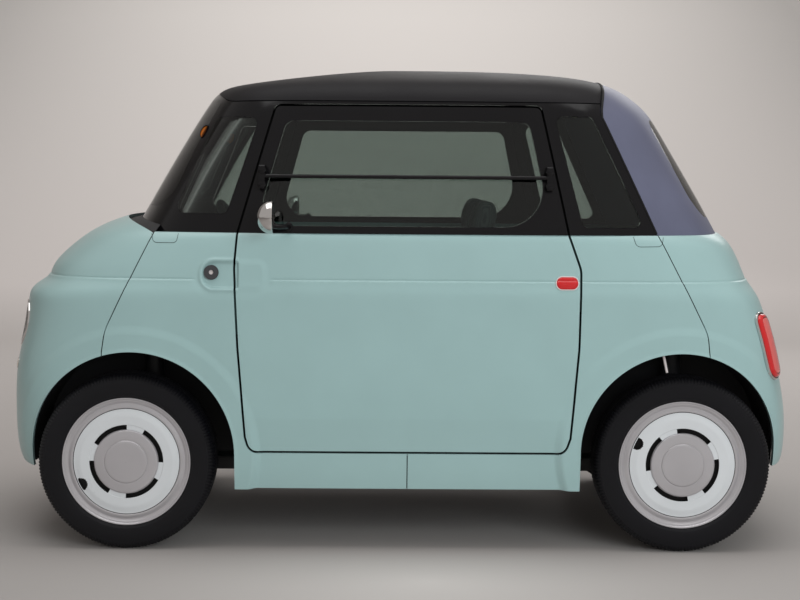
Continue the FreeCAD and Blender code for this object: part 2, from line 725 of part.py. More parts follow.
def greenhouse():
    """Roof, rear canopy, black pillars and the glass between them."""
    skin = upper_solid.cut(upper_hull(mm.seam_depth.value))
    canopy_band = canopy_region(-half_groove).cut(canopy_region(half_groove))
    roof_band = roof_region(-half_groove).cut(roof_region(half_groove))
    canopy_groove = skin.common(canopy_band)
    roof_groove = skin.common(roof_band)
    whole_windows = across(door_corners(), -beyond(), beyond())
    roof = upper_shell.common(roof_region(half_seat)).cut(canopy_region(-half_seat))
    roof = roof.cut(whole_windows).cut(canopy_groove).cut(roof_groove)
    canopy = upper_shell.common(canopy_region(half_seat)).cut(end_window(REAR)).cut(canopy_groove)
    pillars = upper_shell.cut(roof_region(-half_seat)).cut(canopy_region(-half_seat))
    pillars = pillars.cut(whole_windows).cut(end_window(FRONT))
    pillars = pillars.cut(canopy_groove).cut(roof_groove)
    for name, end in ENDS:
        pillars = pillars.cut(across(quarter_wire(end), -beyond(), beyond()))
    feature("roof_panel", one_solid(roof))
    feature("rear_canopy", one_solid(canopy))
    feature("pillar_frame", Part.Compound([solid for solid in pillars.Solids
                                           if solid.BoundBox.ZLength > mm.roof_height.value / 8]))
    glass = upper_solid.cut(upper_hull(mm.glass_wall.value))
    feature("windscreen", one_solid(glass.common(end_window(FRONT, -mm.glass_gap))))
    feature("rear_window", one_solid(glass.common(end_window(REAR, -mm.glass_gap))))
    panes = []
    for name, end in ENDS:
        strip = glass.common(across(quarter_wire(end, -mm.glass_gap), -beyond(), beyond()))
        panes += [one_solid(strip.common(half_space(way))) for side, way in SIDES]
    feature("quarter_glass", Part.Compound(panes))


greenhouse()


def cowl():
    """Black scuttle in the gap between bonnet and windscreen."""
    gap_space = upper_hull(-(mm.cowl_reach - mm.seat_gap)).cut(upper_hull(-mm.seat_gap))
    gap_space = gap_space.cut(under_cowl(-mm.seat_gap.value))
    lowered = lower_hull(mm.cowl_drop).cut(lower_hull(mm.cowl_drop + mm.panel_wall))
    strip = lowered.common(gap_space).common(split_region(FRONT, half_seat))
    feature("cowl_panel", one_solid(strip))


cowl()


# Frame, floor tub and running gear

mm.add("frame", rail_y=300, rail_half=22, rail_low=198, rail_top=236, rail_front=-1060, rail_rear=1080,
       beam_wall=40, beam_low=378, beam_high=430, beam_half_width=332, outrigger_y=640,
       outrigger_front=-470, outrigger_rear=470, cradle_front=-960, cradle_rear=-760)
mm.add("tub", floor_wall=6, firewall_x=-700, bulkhead_x=700, shelf_height=645, shelf_rear=1056,
       sill_inner=590, sill_top=298, housing_bottom=262)
mm.add("running gear", kingpin_y=560, kingpin_radius=14, kingpin_low=178.3, kingpin_high=385,
       hub_flange_radius=38, hub_flange_face=600, hub_flange_back=568, arm_low=160, arm_wall=17.7,
       arm_half=20, arm_tip=575, strut_y=400, strut_back=56, strut_radius=30,
       strut_top=606, axle_tube_radius=25,
       spindle_tip=624, shaft_radius=12, shaft_tip=360, shaft_hole=46)
mm.add("power", motor_half=150, motor_top=410, motor_front=-950, motor_rear=-765,
       battery_front=-300, battery_rear=150, battery_half=430, battery_top=322)


def frame():
    """Ladder frame: two rails, cross members with outriggers, and an upright beam at each end."""
    pieces = []
    for side, way in SIDES:
        y0, y1 = span(way, mm.rail_y - mm.rail_half, mm.rail_y + mm.rail_half)
        pieces.append(bar("rail_" + side, mm.rail_front, mm.rail_rear, y0, y1, mm.rail_low, mm.rail_top))
        pieces.append(bar("front_upright_" + side, mm.rail_front - mm.beam_wall, mm.rail_front, y0, y1,
                          mm.rail_low + mm.beam_wall, mm.beam_high))
        pieces.append(bar("front_knee_" + side, mm.rail_front - mm.beam_wall, mm.rail_front + mm.beam_wall,
                          y0, y1, mm.rail_low + mm.beam_wall / 2, mm.rail_top + mm.beam_wall))
        pieces.append(bar("rear_upright_" + side, mm.rail_rear, mm.rail_rear + mm.beam_wall, y0, y1,
                          mm.rail_low + mm.beam_wall, mm.beam_high))
        pieces.append(bar("rear_knee_" + side, mm.rail_rear - mm.beam_wall, mm.rail_rear + mm.beam_wall,
                          y0, y1, mm.rail_low + mm.beam_wall / 2, mm.rail_top + mm.beam_wall))
    for name, x in (("front", mm.rail_front - mm.beam_wall * 2), ("rear", mm.rail_rear + mm.beam_wall)):
        pieces.append(bar(name + "_beam", x, x + mm.beam_wall, -mm.beam_half_width, mm.beam_half_width,
                          mm.beam_low, mm.beam_high))
    for name, x in (("front", mm.outrigger_front), ("rear", mm.outrigger_rear)):
        pieces.append(bar(name + "_outrigger", x - mm.rail_half, x + mm.rail_half,
                          -mm.outrigger_y, mm.outrigger_y, mm.rail_low, mm.rail_top))
    pieces.append(bar("motor_cradle", mm.cradle_front, mm.cradle_rear, -mm.rail_y, mm.rail_y,
                      mm.rail_low, mm.rail_top))
    welded("chassis_frame", pieces)


def tub():
    """Floor pan with sills, firewall, rear bulkhead with its shelf, and four wheel housings: separate
    mouldings that stand on each other."""
    room = lower_hull(mm.panel_wall.value + mm.seat_gap.value)
    floor_low = mm.rail_top.value + mm.seat_gap.value
    floor_top = floor_low + mm.floor_wall.value
    wall = mm.tub_wall.value
    stand = floor_top + mm.seat_gap.value
    floor_pan = block(mm.firewall_x.value, mm.bulkhead_x.value, -beyond(), beyond(), floor_low, floor_top)
    firewall = block(mm.firewall_x.value, mm.firewall_x.value + wall, -beyond(), beyond(),
                     stand, mm.belt_height.value - mm.overrun.value)
    bulkhead = block(mm.bulkhead_x.value - wall, mm.bulkhead_x.value, -beyond(), beyond(),
                     stand, mm.shelf_height)
    shelf = block(mm.bulkhead_x.value - wall, mm.shelf_rear.value, -beyond(), beyond(),
                  mm.shelf_height.value - wall, mm.shelf_height)
    front_x, front_z, front_radius = arch_centre(FRONT)
    rear_x, rear_z, rear_radius = arch_centre(REAR)
    sills = []
    for side, way in SIDES:
        y0, y1 = span(way, mm.sill_inner, mm.half_width)
        sills.append(block(front_x + front_radius, rear_x - rear_radius, y0, y1, floor_low, mm.sill_top))
    mouldings = [floor_pan.multiFuse(sills), firewall, bulkhead.fuse(shelf)]
    for name, end in ENDS:
        for side, way in SIDES:
            around = arch_tool(end, way, wall + mm.seat_gap.value)
            mouldings = [moulding.cut(around) for moulding in mouldings]
    mouldings = [one_solid(moulding.common(room)) for moulding in mouldings]
    for name, end in ENDS:
        for side, way in SIDES:
            housing = arch_tool(end, way, wall).cut(arch_tool(end, way)).common(room)
            low = block(-beyond(), beyond(), -beyond(), beyond(), -mm.overrun.value, mm.housing_bottom)
            hole = Part.makeCylinder(mm.shaft_hole.value, wall * 4,
                                     Vector(wheel_x(end).value, way * (mm.housing_inner.value - wall * 2),
                                            mm.axle_height.value), Vector(0, way, 0))
            mouldings.append(one_solid(housing.cut(low).cut(hole)))
    feature("floor_tub", Part.Compound(mouldings))


def knuckle(side, way):
    """Upright with kingpin post, hub flange and wheel spindle."""
    axle_x = wheel_x(FRONT)
    post = rod("kingpin_" + side, mm.kingpin_radius, mm.kingpin_high - mm.kingpin_low,
               axle_x, mm.kingpin_y * way, mm.kingpin_low, "z")
    y0, y1 = span(way, mm.hub_flange_back, mm.hub_flange_face)
    flange = rod("hub_flange_" + side, mm.hub_flange_radius, y1 - y0, axle_x, y0, mm.axle_height, "y")
    y0, y1 = span(way, mm.hub_flange_back, mm.spindle_tip)
    spindle = rod("front_spindle_" + side, mm.spindle_radius, y1 - y0, axle_x, y0, mm.axle_height, "y")
    welded("knuckle_" + side, [post, flange, spindle])


def front_suspension():
    """Lower arm, strut and upper arm on each side, around the kingpin post."""
    axle_x = wheel_x(FRONT)
    solids = []
    for side, way in SIDES:
        rail_side = mm.rail_y + mm.rail_half + mm.seat_gap
        y0, y1 = span(way, rail_side, mm.arm_tip)
        lower = block(axle_x - mm.arm_half, axle_x + mm.arm_half, y0, y1, mm.arm_low,
                      mm.arm_low + mm.arm_wall)
        y0, y1 = span(way, rail_side, rail_side + mm.arm_wall)
        hanger = block(axle_x - mm.arm_half * 2, axle_x + mm.arm_half * 2, y0, y1, mm.arm_low, mm.rail_top)
        strut_x = axle_x + mm.strut_back
        strut = Part.makeCylinder(mm.strut_radius.value, mm.strut_top.value - mm.arm_low.value,
                                  Vector(strut_x.value, way * mm.strut_y.value, mm.arm_low.value))
        upper_low = mm.kingpin_high + mm.seat_gap
        y0, y1 = span(way, mm.strut_y - mm.strut_radius, mm.arm_tip)
        upper = block(axle_x - mm.arm_half, axle_x + mm.arm_half, y0, y1, upper_low,
                      upper_low + mm.arm_wall)
        y0, y1 = span(way, mm.strut_y - mm.strut_radius, mm.strut_y + mm.strut_radius)
        feet = [block(axle_x - mm.arm_half, strut_x + mm.strut_radius, y0, y1, low, low + mm.arm_wall)
                for low in (mm.arm_low, upper_low)]
        solids.append(lower.multiFuse([hanger, strut, upper] + feet))
    feature("front_suspension", Part.Compound([one_solid(solid) for solid in solids]))


def rear_axle():
    """Dead axle tube with wheel spindles and a spring leg on each side."""
    axle_x = wheel_x(REAR)
    pieces = [rod("axle_tube", mm.axle_tube_radius, mm.hub_flange_face * 2, axle_x, -mm.hub_flange_face,
                  mm.axle_height, "y"),
              rod("rear_spindle", mm.spindle_radius, mm.spindle_tip * 2, axle_x, -mm.spindle_tip,
                  mm.axle_height, "y")]
    for side, way in SIDES:
        pieces.append(rod("spring_leg_" + side, mm.strut_radius, mm.strut_top - mm.axle_height,
                          axle_x, mm.strut_y * way, mm.axle_height, "z"))
        y0, y1 = span(way, mm.rail_y - mm.rail_half, mm.rail_y + mm.rail_half)
        pieces.append(bar("axle_seat_" + side, axle_x - mm.arm_half, axle_x + mm.arm_half, y0, y1,
                          mm.rail_top + mm.seat_gap, mm.axle_height))
    welded("rear_axle", pieces)


def power():
    """Drive motor with shaft stubs between the front wheels, and the battery under the seats."""
    axle_x = wheel_x(FRONT)
    motor = bar("motor_case", mm.motor_front, mm.motor_rear, -mm.motor_half, mm.motor_half,
                mm.rail_top + mm.seat_gap, mm.motor_top)
    shaft = rod("drive_shaft", mm.shaft_radius, mm.shaft_tip * 2, axle_x, -mm.shaft_tip,
                mm.axle_height, "y")
    welded("drive_motor", [motor, shaft])
    low = mm.rail_top + mm.seat_gap * 2 + mm.floor_wall
    battery = bar("battery_block", mm.battery_front, mm.battery_rear, -mm.battery_half, mm.battery_half,
                  low, mm.battery_top)
    subparts.append(battery)


frame()
tub()
for side_name, side_way in SIDES:
    knuckle(side_name, side_way)
front_suspension()
rear_axle()
power()


# Wheels: tyre and rim turned about the axle

def turned(name, points):
    """Body turned about its own Y axis from a closed outline of radius and offset pairs."""
    body = doc.addObject("PartDesign::Body", name)
    body.Label = name
    sketch = body.newObject("Sketcher::SketchObject", name + "_outline")
    plane = [item for item in body.Origin.OriginFeatures if item.Role == "XY_Plane"][0]
    sketch.AttachmentSupport = [(plane, "")]
    sketch.MapMode = "FlatFace"
    count = len(points)
    for i in range(count):
        start = points[i]
        stop = points[(i + 1) % count]
        sketch.addGeometry(Part.LineSegment(Vector(float(start[0]), float(start[1]), 0),
                                            Vector(float(stop[0]), float(stop[1]), 0)), False)
    for i in range(count):
        sketch.addConstraint(Sketcher.Constraint("Coincident", i, 2, (i + 1) % count, 1))
    for i, (radius, offset) in enumerate(points):
        for kind, value in (("DistanceX", radius), ("DistanceY", offset)):
            row = sketch.addConstraint(Sketcher.Constraint(kind, -1, 1, i, 1, float(value)))
            sketch.setExpression("Constraints[" + str(row) + "]", text(value))
    turn = body.newObject("PartDesign::Revolution", name + "_turn")
    turn.Profile = sketch
    turn.ReferenceAxis = (sketch, ["V_Axis"])
    turn.Angle = 360
    body.Tip = turn
    return body


def stand_wheel(body, end, way):
    """Put a wheel's piece on its axle, outer face away from the car."""
    if way > 0:
        body.Placement = Placement(Vector(), Rotation(Vector(0, 0, 1), 180))
    bind_place(body, wheel_x(end), mm.wheel_track_half * way, mm.axle_height)


def tyre(name):
    """Tyre section: beads on the rim, bulged walls, rounded shoulders and a flat tread."""
    half = [(mm.bead_radius, mm.bead_half_width),
            (mm.rim_lip_radius + mm.seat_gap * 2, mm.bead_half_width + mm.seat_gap),
            (mm.rim_lip_radius + mm.rim_lip_wall, mm.bead_half_width + mm.rim_lip_wall * 2),
            (mm.bulge_radius, mm.tyre_width / 2),
            (mm.shoulder_radius, mm.shoulder_half_width),
            (mm.tyre_radius - mm.seat_gap * 8, mm.tread_half_width + mm.rim_lip_wall),
            (mm.tyre_radius, mm.tread_half_width)]
    outline = [(radius, -offset) for radius, offset in half]
    outline += [(radius, offset) for radius, offset in reversed(half)]
    return turned(name, outline)


def rim(name):
    """Rim barrel with closed cover face, raised cap and a blind spindle bore."""
    bead = mm.bead_radius - mm.seat_gap
    lip = mm.bead_half_width + mm.seat_gap * 3
    face = mm.cover_face
    inside = mm.bead_radius - mm.rim_drop
    bore = mm.spindle_radius + mm.spindle_gap
    hub_back = face - mm.hub_depth
    disc_back = face - mm.cover_wall
    outline = [
        (bore, -hub_back),
        (mm.hub_radius, -hub_back),
        (mm.hub_radius, -disc_back),
        (inside - mm.rim_wall, -disc_back),
        (inside, -disc_back + mm.rim_drop),
        (inside, lip + mm.rim_lip_wall),
        (mm.rim_lip_radius, lip + mm.rim_lip_wall),
        (mm.rim_lip_radius, lip),
        (bead, lip),
        (bead, mm.rim_drop * 2),
        (bead - mm.rim_wall, mm.rim_drop),
        (bead - mm.rim_wall, -mm.rim_drop),
        (bead, -mm.rim_drop * 2),
        (bead, -lip),
        (mm.rim_lip_radius, -lip),
        (mm.rim_lip_radius, -lip - mm.rim_lip_wall),
        (mm.rim_lip_radius - mm.rim_lip_wall, -lip - mm.rim_lip_wall * 1.5),
        (mm.cover_radius + mm.rim_lip_wall, -face - mm.seat_gap * 8),
        (mm.cover_radius + mm.seat_gap * 3, -face + mm.rim_lip_wall / 2),
        (mm.cover_radius, -face),
        (mm.slot_outer_radius, -face - mm.rim_lip_wall / 2),
        (mm.cap_radius, -face - mm.rim_lip_wall / 2),
        (mm.cap_radius - mm.rim_lip_wall / 2, -face - mm.cap_crown),
        (mm.boss_radius, -face - mm.cap_crown),
        (mm.boss_radius - mm.rim_lip_wall / 2, -face - mm.cap_crown - mm.boss_crown),
        (0, -face - mm.cap_crown - mm.boss_crown),
        (0, -hub_back - mm.spindle_tip + mm.hub_flange_face),
        (bore, -hub_back - mm.spindle_tip + mm.hub_flange_face),
    ]
    return turned(name, outline)


def slotted(body, name):
    """Four curved slots through the cover, between the cap and the white face."""
    sketch = body.newObject("Sketcher::SketchObject", name + "_slot")
    plane = [item for item in body.Origin.OriginFeatures if item.Role == "XZ_Plane"][0]
    sketch.AttachmentSupport = [(plane, "")]
    sketch.MapMode = "FlatFace"
    half = math.radians(mm.slot_sweep.value / 2)
    inner, outer = mm.slot_inner_radius, mm.slot_outer_radius
    up = Vector(0, 0, 1)
    for radius in (inner, outer):
        circle = Part.Circle(Vector(), up, radius.value)
        sketch.addGeometry(Part.ArcOfCircle(circle, -half, half), False)
    corners = [[Vector(r.value * math.cos(a), r.value * math.sin(a), 0) for r in (inner, outer)]
               for a in (-half, half)]
    for pair in corners:
        sketch.addGeometry(Part.LineSegment(pair[0], pair[1]), False)
    for arc in (0, 1):
        sketch.addConstraint(Sketcher.Constraint("Coincident", arc, 3, -1, 1))
    for line, end_point in ((2, 1), (3, 2)):
        sketch.addConstraint(Sketcher.Constraint("Coincident", line, 1, 0, end_point))
        sketch.addConstraint(Sketcher.Constraint("Coincident", line, 2, 1, end_point))
    for arc, radius in ((0, inner), (1, outer)):
        row = sketch.addConstraint(Sketcher.Constraint("Radius", arc, radius.value))
        sketch.setExpression("Constraints[" + str(row) + "]", text(radius))
    slot = body.newObject("PartDesign::Pocket", name + "_slot_cut")
    slot.Profile = sketch
    slot.Midplane = True
    slot.Type = "ThroughAll"
    doc.recompute()
    pattern = body.newObject("PartDesign::PolarPattern", name + "_slots")
    pattern.Originals = [slot]
    axis = [item for item in body.Origin.OriginFeatures if item.Role == "Y_Axis"][0]
    pattern.Axis = (axis, [""])
    pattern.Angle = 360
    pattern.Occurrences = int(mm.slot_count.value)
    body.Tip = pattern


def wheels():
    for name, end in ENDS:
        for side, way in SIDES:
            label = name + "_" + side
            for piece in (tyre("tyre_" + label), rim("wheel_" + label)):
                if piece.Label.startswith("wheel"):
                    slotted(piece, piece.Label)
                stand_wheel(piece, end, way)
                subparts.append(piece)


wheels()


# Interior and small outside pieces

mm.add("seats", seat_y=305, seat_half=215, cushion_front=-340, cushion_rear=95, cushion_low=328,
       cushion_top=430, back_high=960, back_head=205, back_wall=85,
       rest_high=1100, rest_half=120, seat_corner=36)
mm.add("dashboard", dash_front=-695, dash_rear=-560, dash_low=760, dash_top=965, dash_half=600,
       dash_corner=40, column_x=-668, column_z=860, column_radius=26, column_length=92,
       steering_radius=172, steering_grip=13, steering_hub=52, steering_hub_wall=34,
       steering_tilt=28, steering_y=-305)
mm.add("mirrors", mirror_x=-395, mirror_y=762, mirror_z=1039, mirror_radius=51, stalk_radius=8,
       stalk_foot_x=-354, stalk_foot_z=1006)
mm.add("door furniture", reflector_x=501, reflector_z=841, reflector_half_length=36,
       reflector_half_height=22, reflector_proud=7, lock_x=-590, lock_z=867, lock_radius=22,
       lock_bore=7, lock_proud=3)


rest_lean_share = 0.22


def seats():
    """Cushion, leaning back and head rest of each seat, as separate closed pads."""
    for side, way in SIDES:
        y0, y1 = span(way, mm.seat_y - mm.seat_half, mm.seat_y + mm.seat_half)
        cushion = across(rounded_wire([
            (xz(mm.cushion_front, mm.cushion_low), mm.seat_corner),
            (xz(mm.cushion_rear, mm.cushion_low), mm.seat_corner / 2),
            (xz(mm.cushion_rear, mm.cushion_top), mm.seat_corner / 2),
            (xz(mm.cushion_front, mm.cushion_top), mm.seat_corner)]), y0, y1)
        foot = mm.cushion_rear + mm.seat_gap
        back = across(rounded_wire([
            (xz(foot, mm.cushion_low), 0),
            (xz(foot, mm.cushion_top), mm.seat_corner),
            (xz(mm.back_head, mm.back_high), mm.seat_corner),
            (xz(mm.back_head + mm.back_wall, mm.back_high), mm.seat_corner),
            (xz(foot + mm.back_wall, mm.cushion_top), mm.seat_corner),
            (xz(foot + mm.back_wall, mm.cushion_low), 0)]), y0, y1)
        r0, r1 = span(way, mm.seat_y - mm.rest_half, mm.seat_y + mm.rest_half)
        lean = (mm.rest_high.value - mm.back_high.value) * rest_lean_share
        rest_low = mm.back_high + mm.seat_gap
        rest = across(rounded_wire([
            (xz(mm.back_head, rest_low), mm.seat_corner / 2),
            (xz(mm.back_head.value + lean, mm.rest_high), mm.seat_corner),
            (xz(mm.back_head.value + lean + mm.back_wall.value, mm.rest_high), mm.seat_corner),
            (xz(mm.back_head + mm.back_wall, rest_low), mm.seat_corner / 2)]), r0, r1)
        frame_plate = block(mm.cushion_front + mm.overrun, foot + mm.back_wall, y0, y1,
                            mm.battery_top + mm.seat_gap, mm.cushion_low - mm.seat_gap)
        feature("seat_" + side, Part.Compound([cushion, back, rest, frame_plate]))


def dashboard():
    """Moulded dashboard across the car under the windscreen."""
    room = lower_hull(mm.panel_wall.value + mm.seat_gap.value)
    front = mm.firewall_x.value + mm.tub_wall.value + mm.seat_gap.value
    bodywork = across(rounded_wire([
        (xz(front, mm.dash_low), 0),
        (xz(mm.dash_rear, mm.dash_low), mm.dash_corner),
        (xz(mm.dash_rear, mm.dash_top), mm.dash_corner * 1.5),
        (xz(front, mm.dash_top), 0)]), -mm.dash_half, mm.dash_half)
    whole = bodywork.common(room)
    turn = Rotation(Vector(0, 1, 0), 90 - mm.steering_tilt.value)
    column = Part.makeCylinder(mm.column_radius.value, mm.column_length.value)
    column.Placement = Placement(column_foot(), turn)
    feature("dashboard", one_solid(whole.fuse(column)))


def column_foot():
    return Vector(mm.column_x.value + mm.dash_corner.value, mm.steering_y.value, mm.column_z.value)


def steering_wheel():
    """Rim, hub and three spokes, square to the sloping column."""
    turn = Rotation(Vector(0, 1, 0), 90 - mm.steering_tilt.value)
    along = turn.multVec(Vector(0, 0, 1))
    hub_start = column_foot() + along * (mm.column_length.value + mm.seat_gap.value)
    hub = Part.makeCylinder(mm.steering_hub.value, mm.steering_hub_wall.value)
    ring = Part.makeTorus(mm.steering_radius.value, mm.steering_grip.value,
                          Vector(0, 0, mm.steering_hub_wall.value))
    spokes = []
    for angle in (90, 180, 270):
        spoke = Part.makeBox(mm.steering_radius.value, mm.steering_grip.value * 2,
                             mm.steering_grip.value, Vector(0, -mm.steering_grip.value,
                                                            mm.steering_hub_wall.value
                                                            - mm.steering_grip.value))
        spoke.rotate(Vector(), Vector(0, 0, 1), angle)
        spokes.append(spoke)
    whole = hub.multiFuse([ring] + spokes)
    whole.Placement = Placement(hub_start, turn)
    feature("steering_wheel", whole)
    print("steering axis", [round(v, 5) for v in along], "at", [round(v, 2) for v in hub_start])


def mirrors():
    """Round mirror head on a stalk from the front corner of the door's window."""
    for side, way in SIDES:
        head = Part.makeSphere(mm.mirror_radius.value)
        head = head.common(block(0, mm.mirror_radius, -mm.mirror_radius, mm.mirror_radius,
                                 -mm.mirror_radius, mm.mirror_radius))
        head = head.mirror(Vector(), Vector(1, 0, 0))
        head.translate(Vector(mm.mirror_x.value, way * mm.mirror_y.value, mm.mirror_z.value))
        foot_y = surface_y(upper_solid, mm.stalk_foot_x, mm.stalk_foot_z) - mm.stalk_radius.value
        start = Vector(mm.stalk_foot_x.value, way * foot_y, mm.stalk_foot_z.value)
        stop = Vector(mm.mirror_x.value - mm.mirror_radius.value / 2, way * mm.mirror_y.value,
                      mm.mirror_z.value)
        reach = stop - start
        stalk = Part.makeCylinder(mm.stalk_radius.value, reach.Length, start, reach)
        whole = head.fuse(stalk)
        for form in (upper_hull, lower_hull):
            whole = whole.cut(form(-mm.seat_gap.value))
        feature("mirror_" + side, one_solid(whole))


def turned_x(x, way):
    """Place along the car on one side: the right door is the left one turned round."""
    return x if way < 0 else mm.door_waist_front.value + mm.door_waist_rear.value - x


def door_locks():
    """Round push button with a key bore, on the wing beside each door's free edge."""
    layer = lower_hull(-mm.lock_proud.value).cut(lower_hull(-mm.seat_gap.value))
    buttons = []
    for side, way in SIDES:
        place = Vector(turned_x(mm.lock_x.value, way), 0, mm.lock_z.value)
        along = Vector(0, way, 0)
        ring = Part.makeCylinder(mm.lock_radius.value, beyond(), place, along)
        bore = Part.makeCylinder(mm.lock_bore.value, beyond(), place, along)
        buttons.append(one_solid(layer.common(ring).cut(bore)))
    feature("door_locks", Part.Compound(buttons))


def reflectors():
    """Oval red reflector near each door's shut edge."""
    layer = lower_hull(-mm.reflector_proud.value).cut(lower_hull(-mm.seat_gap.value))
    for side, way in SIDES:
        x = turned_x(mm.reflector_x.value, way)
        ellipse = Part.Ellipse(Vector(), mm.reflector_half_length.value, mm.reflector_half_height.value)
        face = Part.Face(Part.Wire(ellipse.toShape()))
        face.rotate(Vector(), Vector(1, 0, 0), 90)
        face.translate(Vector(x, 0, mm.reflector_z.value))
        tool = face.extrude(Vector(0, way * beyond(), 0))
        feature("reflector_" + side, one_solid(layer.common(tool)))


seats()
dashboard()
steering_wheel()
mirrors()
reflectors()
door_locks()

doc.recompute()

bad = [item.Name for item in doc.Objects if "Invalid" in item.State or "Error" in item.State]
if bad:
    raise RuntimeError("not computed: " + ", ".join(bad))
os.makedirs("parts", exist_ok=True)
for item in subparts:
    if item.Shape.isNull() or not item.Shape.isValid():
        raise RuntimeError("not a valid shape: " + item.Label)
    print(item.Label, "solids", len(item.Shape.Solids), "volume", round(item.Shape.Volume / 1e6, 2))
    item.Shape.exportStep(os.path.join("parts", item.Label + ".step"))
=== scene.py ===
import json
import math

import bpy
import numpy as np
from mathutils import Matrix, Vector
from mathutils.bvhtree import BVHTree

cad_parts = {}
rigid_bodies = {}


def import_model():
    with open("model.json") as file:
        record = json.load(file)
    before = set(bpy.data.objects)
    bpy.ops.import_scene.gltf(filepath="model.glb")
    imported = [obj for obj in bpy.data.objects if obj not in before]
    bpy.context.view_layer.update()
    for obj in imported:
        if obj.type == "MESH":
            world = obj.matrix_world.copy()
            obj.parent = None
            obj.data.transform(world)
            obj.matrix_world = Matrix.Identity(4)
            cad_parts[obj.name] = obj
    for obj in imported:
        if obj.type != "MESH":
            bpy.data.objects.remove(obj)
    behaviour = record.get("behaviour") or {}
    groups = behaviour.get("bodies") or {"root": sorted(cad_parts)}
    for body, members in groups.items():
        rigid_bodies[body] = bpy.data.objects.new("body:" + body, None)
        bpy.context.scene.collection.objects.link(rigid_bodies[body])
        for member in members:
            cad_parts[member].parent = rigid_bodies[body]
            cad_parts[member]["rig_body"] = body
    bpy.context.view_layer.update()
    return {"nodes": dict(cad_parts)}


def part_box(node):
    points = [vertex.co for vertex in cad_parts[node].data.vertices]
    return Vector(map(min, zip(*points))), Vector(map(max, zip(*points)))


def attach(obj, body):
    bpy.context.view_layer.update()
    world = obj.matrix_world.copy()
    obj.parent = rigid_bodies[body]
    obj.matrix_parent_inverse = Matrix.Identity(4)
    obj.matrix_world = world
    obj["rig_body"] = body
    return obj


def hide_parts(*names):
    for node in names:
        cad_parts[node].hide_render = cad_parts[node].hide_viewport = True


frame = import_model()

# Two-seat electric microcar in metres: front towards -X, left side towards -Y, ground at zero.
# Painted panels are the frame's own shapes laid on the body's smooth form, with flares, creases
# and hand recesses raised on it. Wheels, lamps, seats and small parts are worked out on grids.

MM = 0.001
scene = bpy.context.scene
scene.view_settings.view_transform = "Standard"
SIDES = (("left", -1), ("right", 1))
ENDS = (("front", -1), ("rear", 1))


# Camera

CAMERA_PLACE = (-0.0596, -5.890, 1.16335)
PITCH, YAW, ROLL = (math.radians(angle) for angle in (4.143, 0.533, 0.461))
LENS, SENSOR, FAR_END = 76.64, 36.0, 60


def make_camera():
    """Camera at the photograph's place: a long lens, a little above the belt, almost square on."""
    data = bpy.data.cameras.new("camera")
    data.lens, data.sensor_width, data.clip_end = LENS, SENSOR, FAR_END
    cam = bpy.data.objects.new("camera", data)
    scene.collection.objects.link(cam)
    ahead = np.array([math.sin(YAW) * math.cos(PITCH), math.cos(YAW) * math.cos(PITCH), -math.sin(PITCH)])
    right = np.array([math.cos(YAW), -math.sin(YAW), 0.0])
    up = np.cross(right, ahead)
    matrix = np.eye(4)
    matrix[:3, 0] = right * math.cos(ROLL) + up * math.sin(ROLL)
    matrix[:3, 1] = up * math.cos(ROLL) - right * math.sin(ROLL)
    matrix[:3, 2] = -ahead
    matrix[:3, 3] = CAMERA_PLACE
    cam.matrix_world = Matrix(matrix.tolist())
    scene.camera = cam


make_camera()


# Materials

def node_tree(name):
    """New material with its principled shader and an empty canvas."""
    mat = bpy.data.materials.new(name)
    mat.use_nodes = True
    tree = mat.node_tree
    return mat, tree, tree.nodes["Principled BSDF"]


def add(tree, kind, inputs=None, **props):
    """Node with its properties and unlinked input values set."""
    node = tree.nodes.new(kind)
    for key, value in props.items():
        setattr(node, key, value)
    for key, value in (inputs or {}).items():
        node.inputs[key].default_value = value
    return node


def ramp(tree, source, stops):
    """Colour ramp on a value: pairs of position and grey or colour."""
    node = tree.nodes.new("ShaderNodeValToRGB")
    items = node.color_ramp.elements
    while len(items) < len(stops):
        items.new(0.5)
    for item, (place, colour) in zip(items, stops):
        item.position = place
        item.color = (*colour, 1) if len(colour) == 3 else colour
    tree.links.new(source, node.inputs["Fac"])
    return node.outputs["Color"]


def srgb(r, g, b):
    """Linear colour of an 8-bit screen colour."""
    def linear(v):
        v = v / 255
        return v / 12.92 if v <= 0.04045 else ((v + 0.055) / 1.055) ** 2.4
    return (linear(r), linear(g), linear(b))


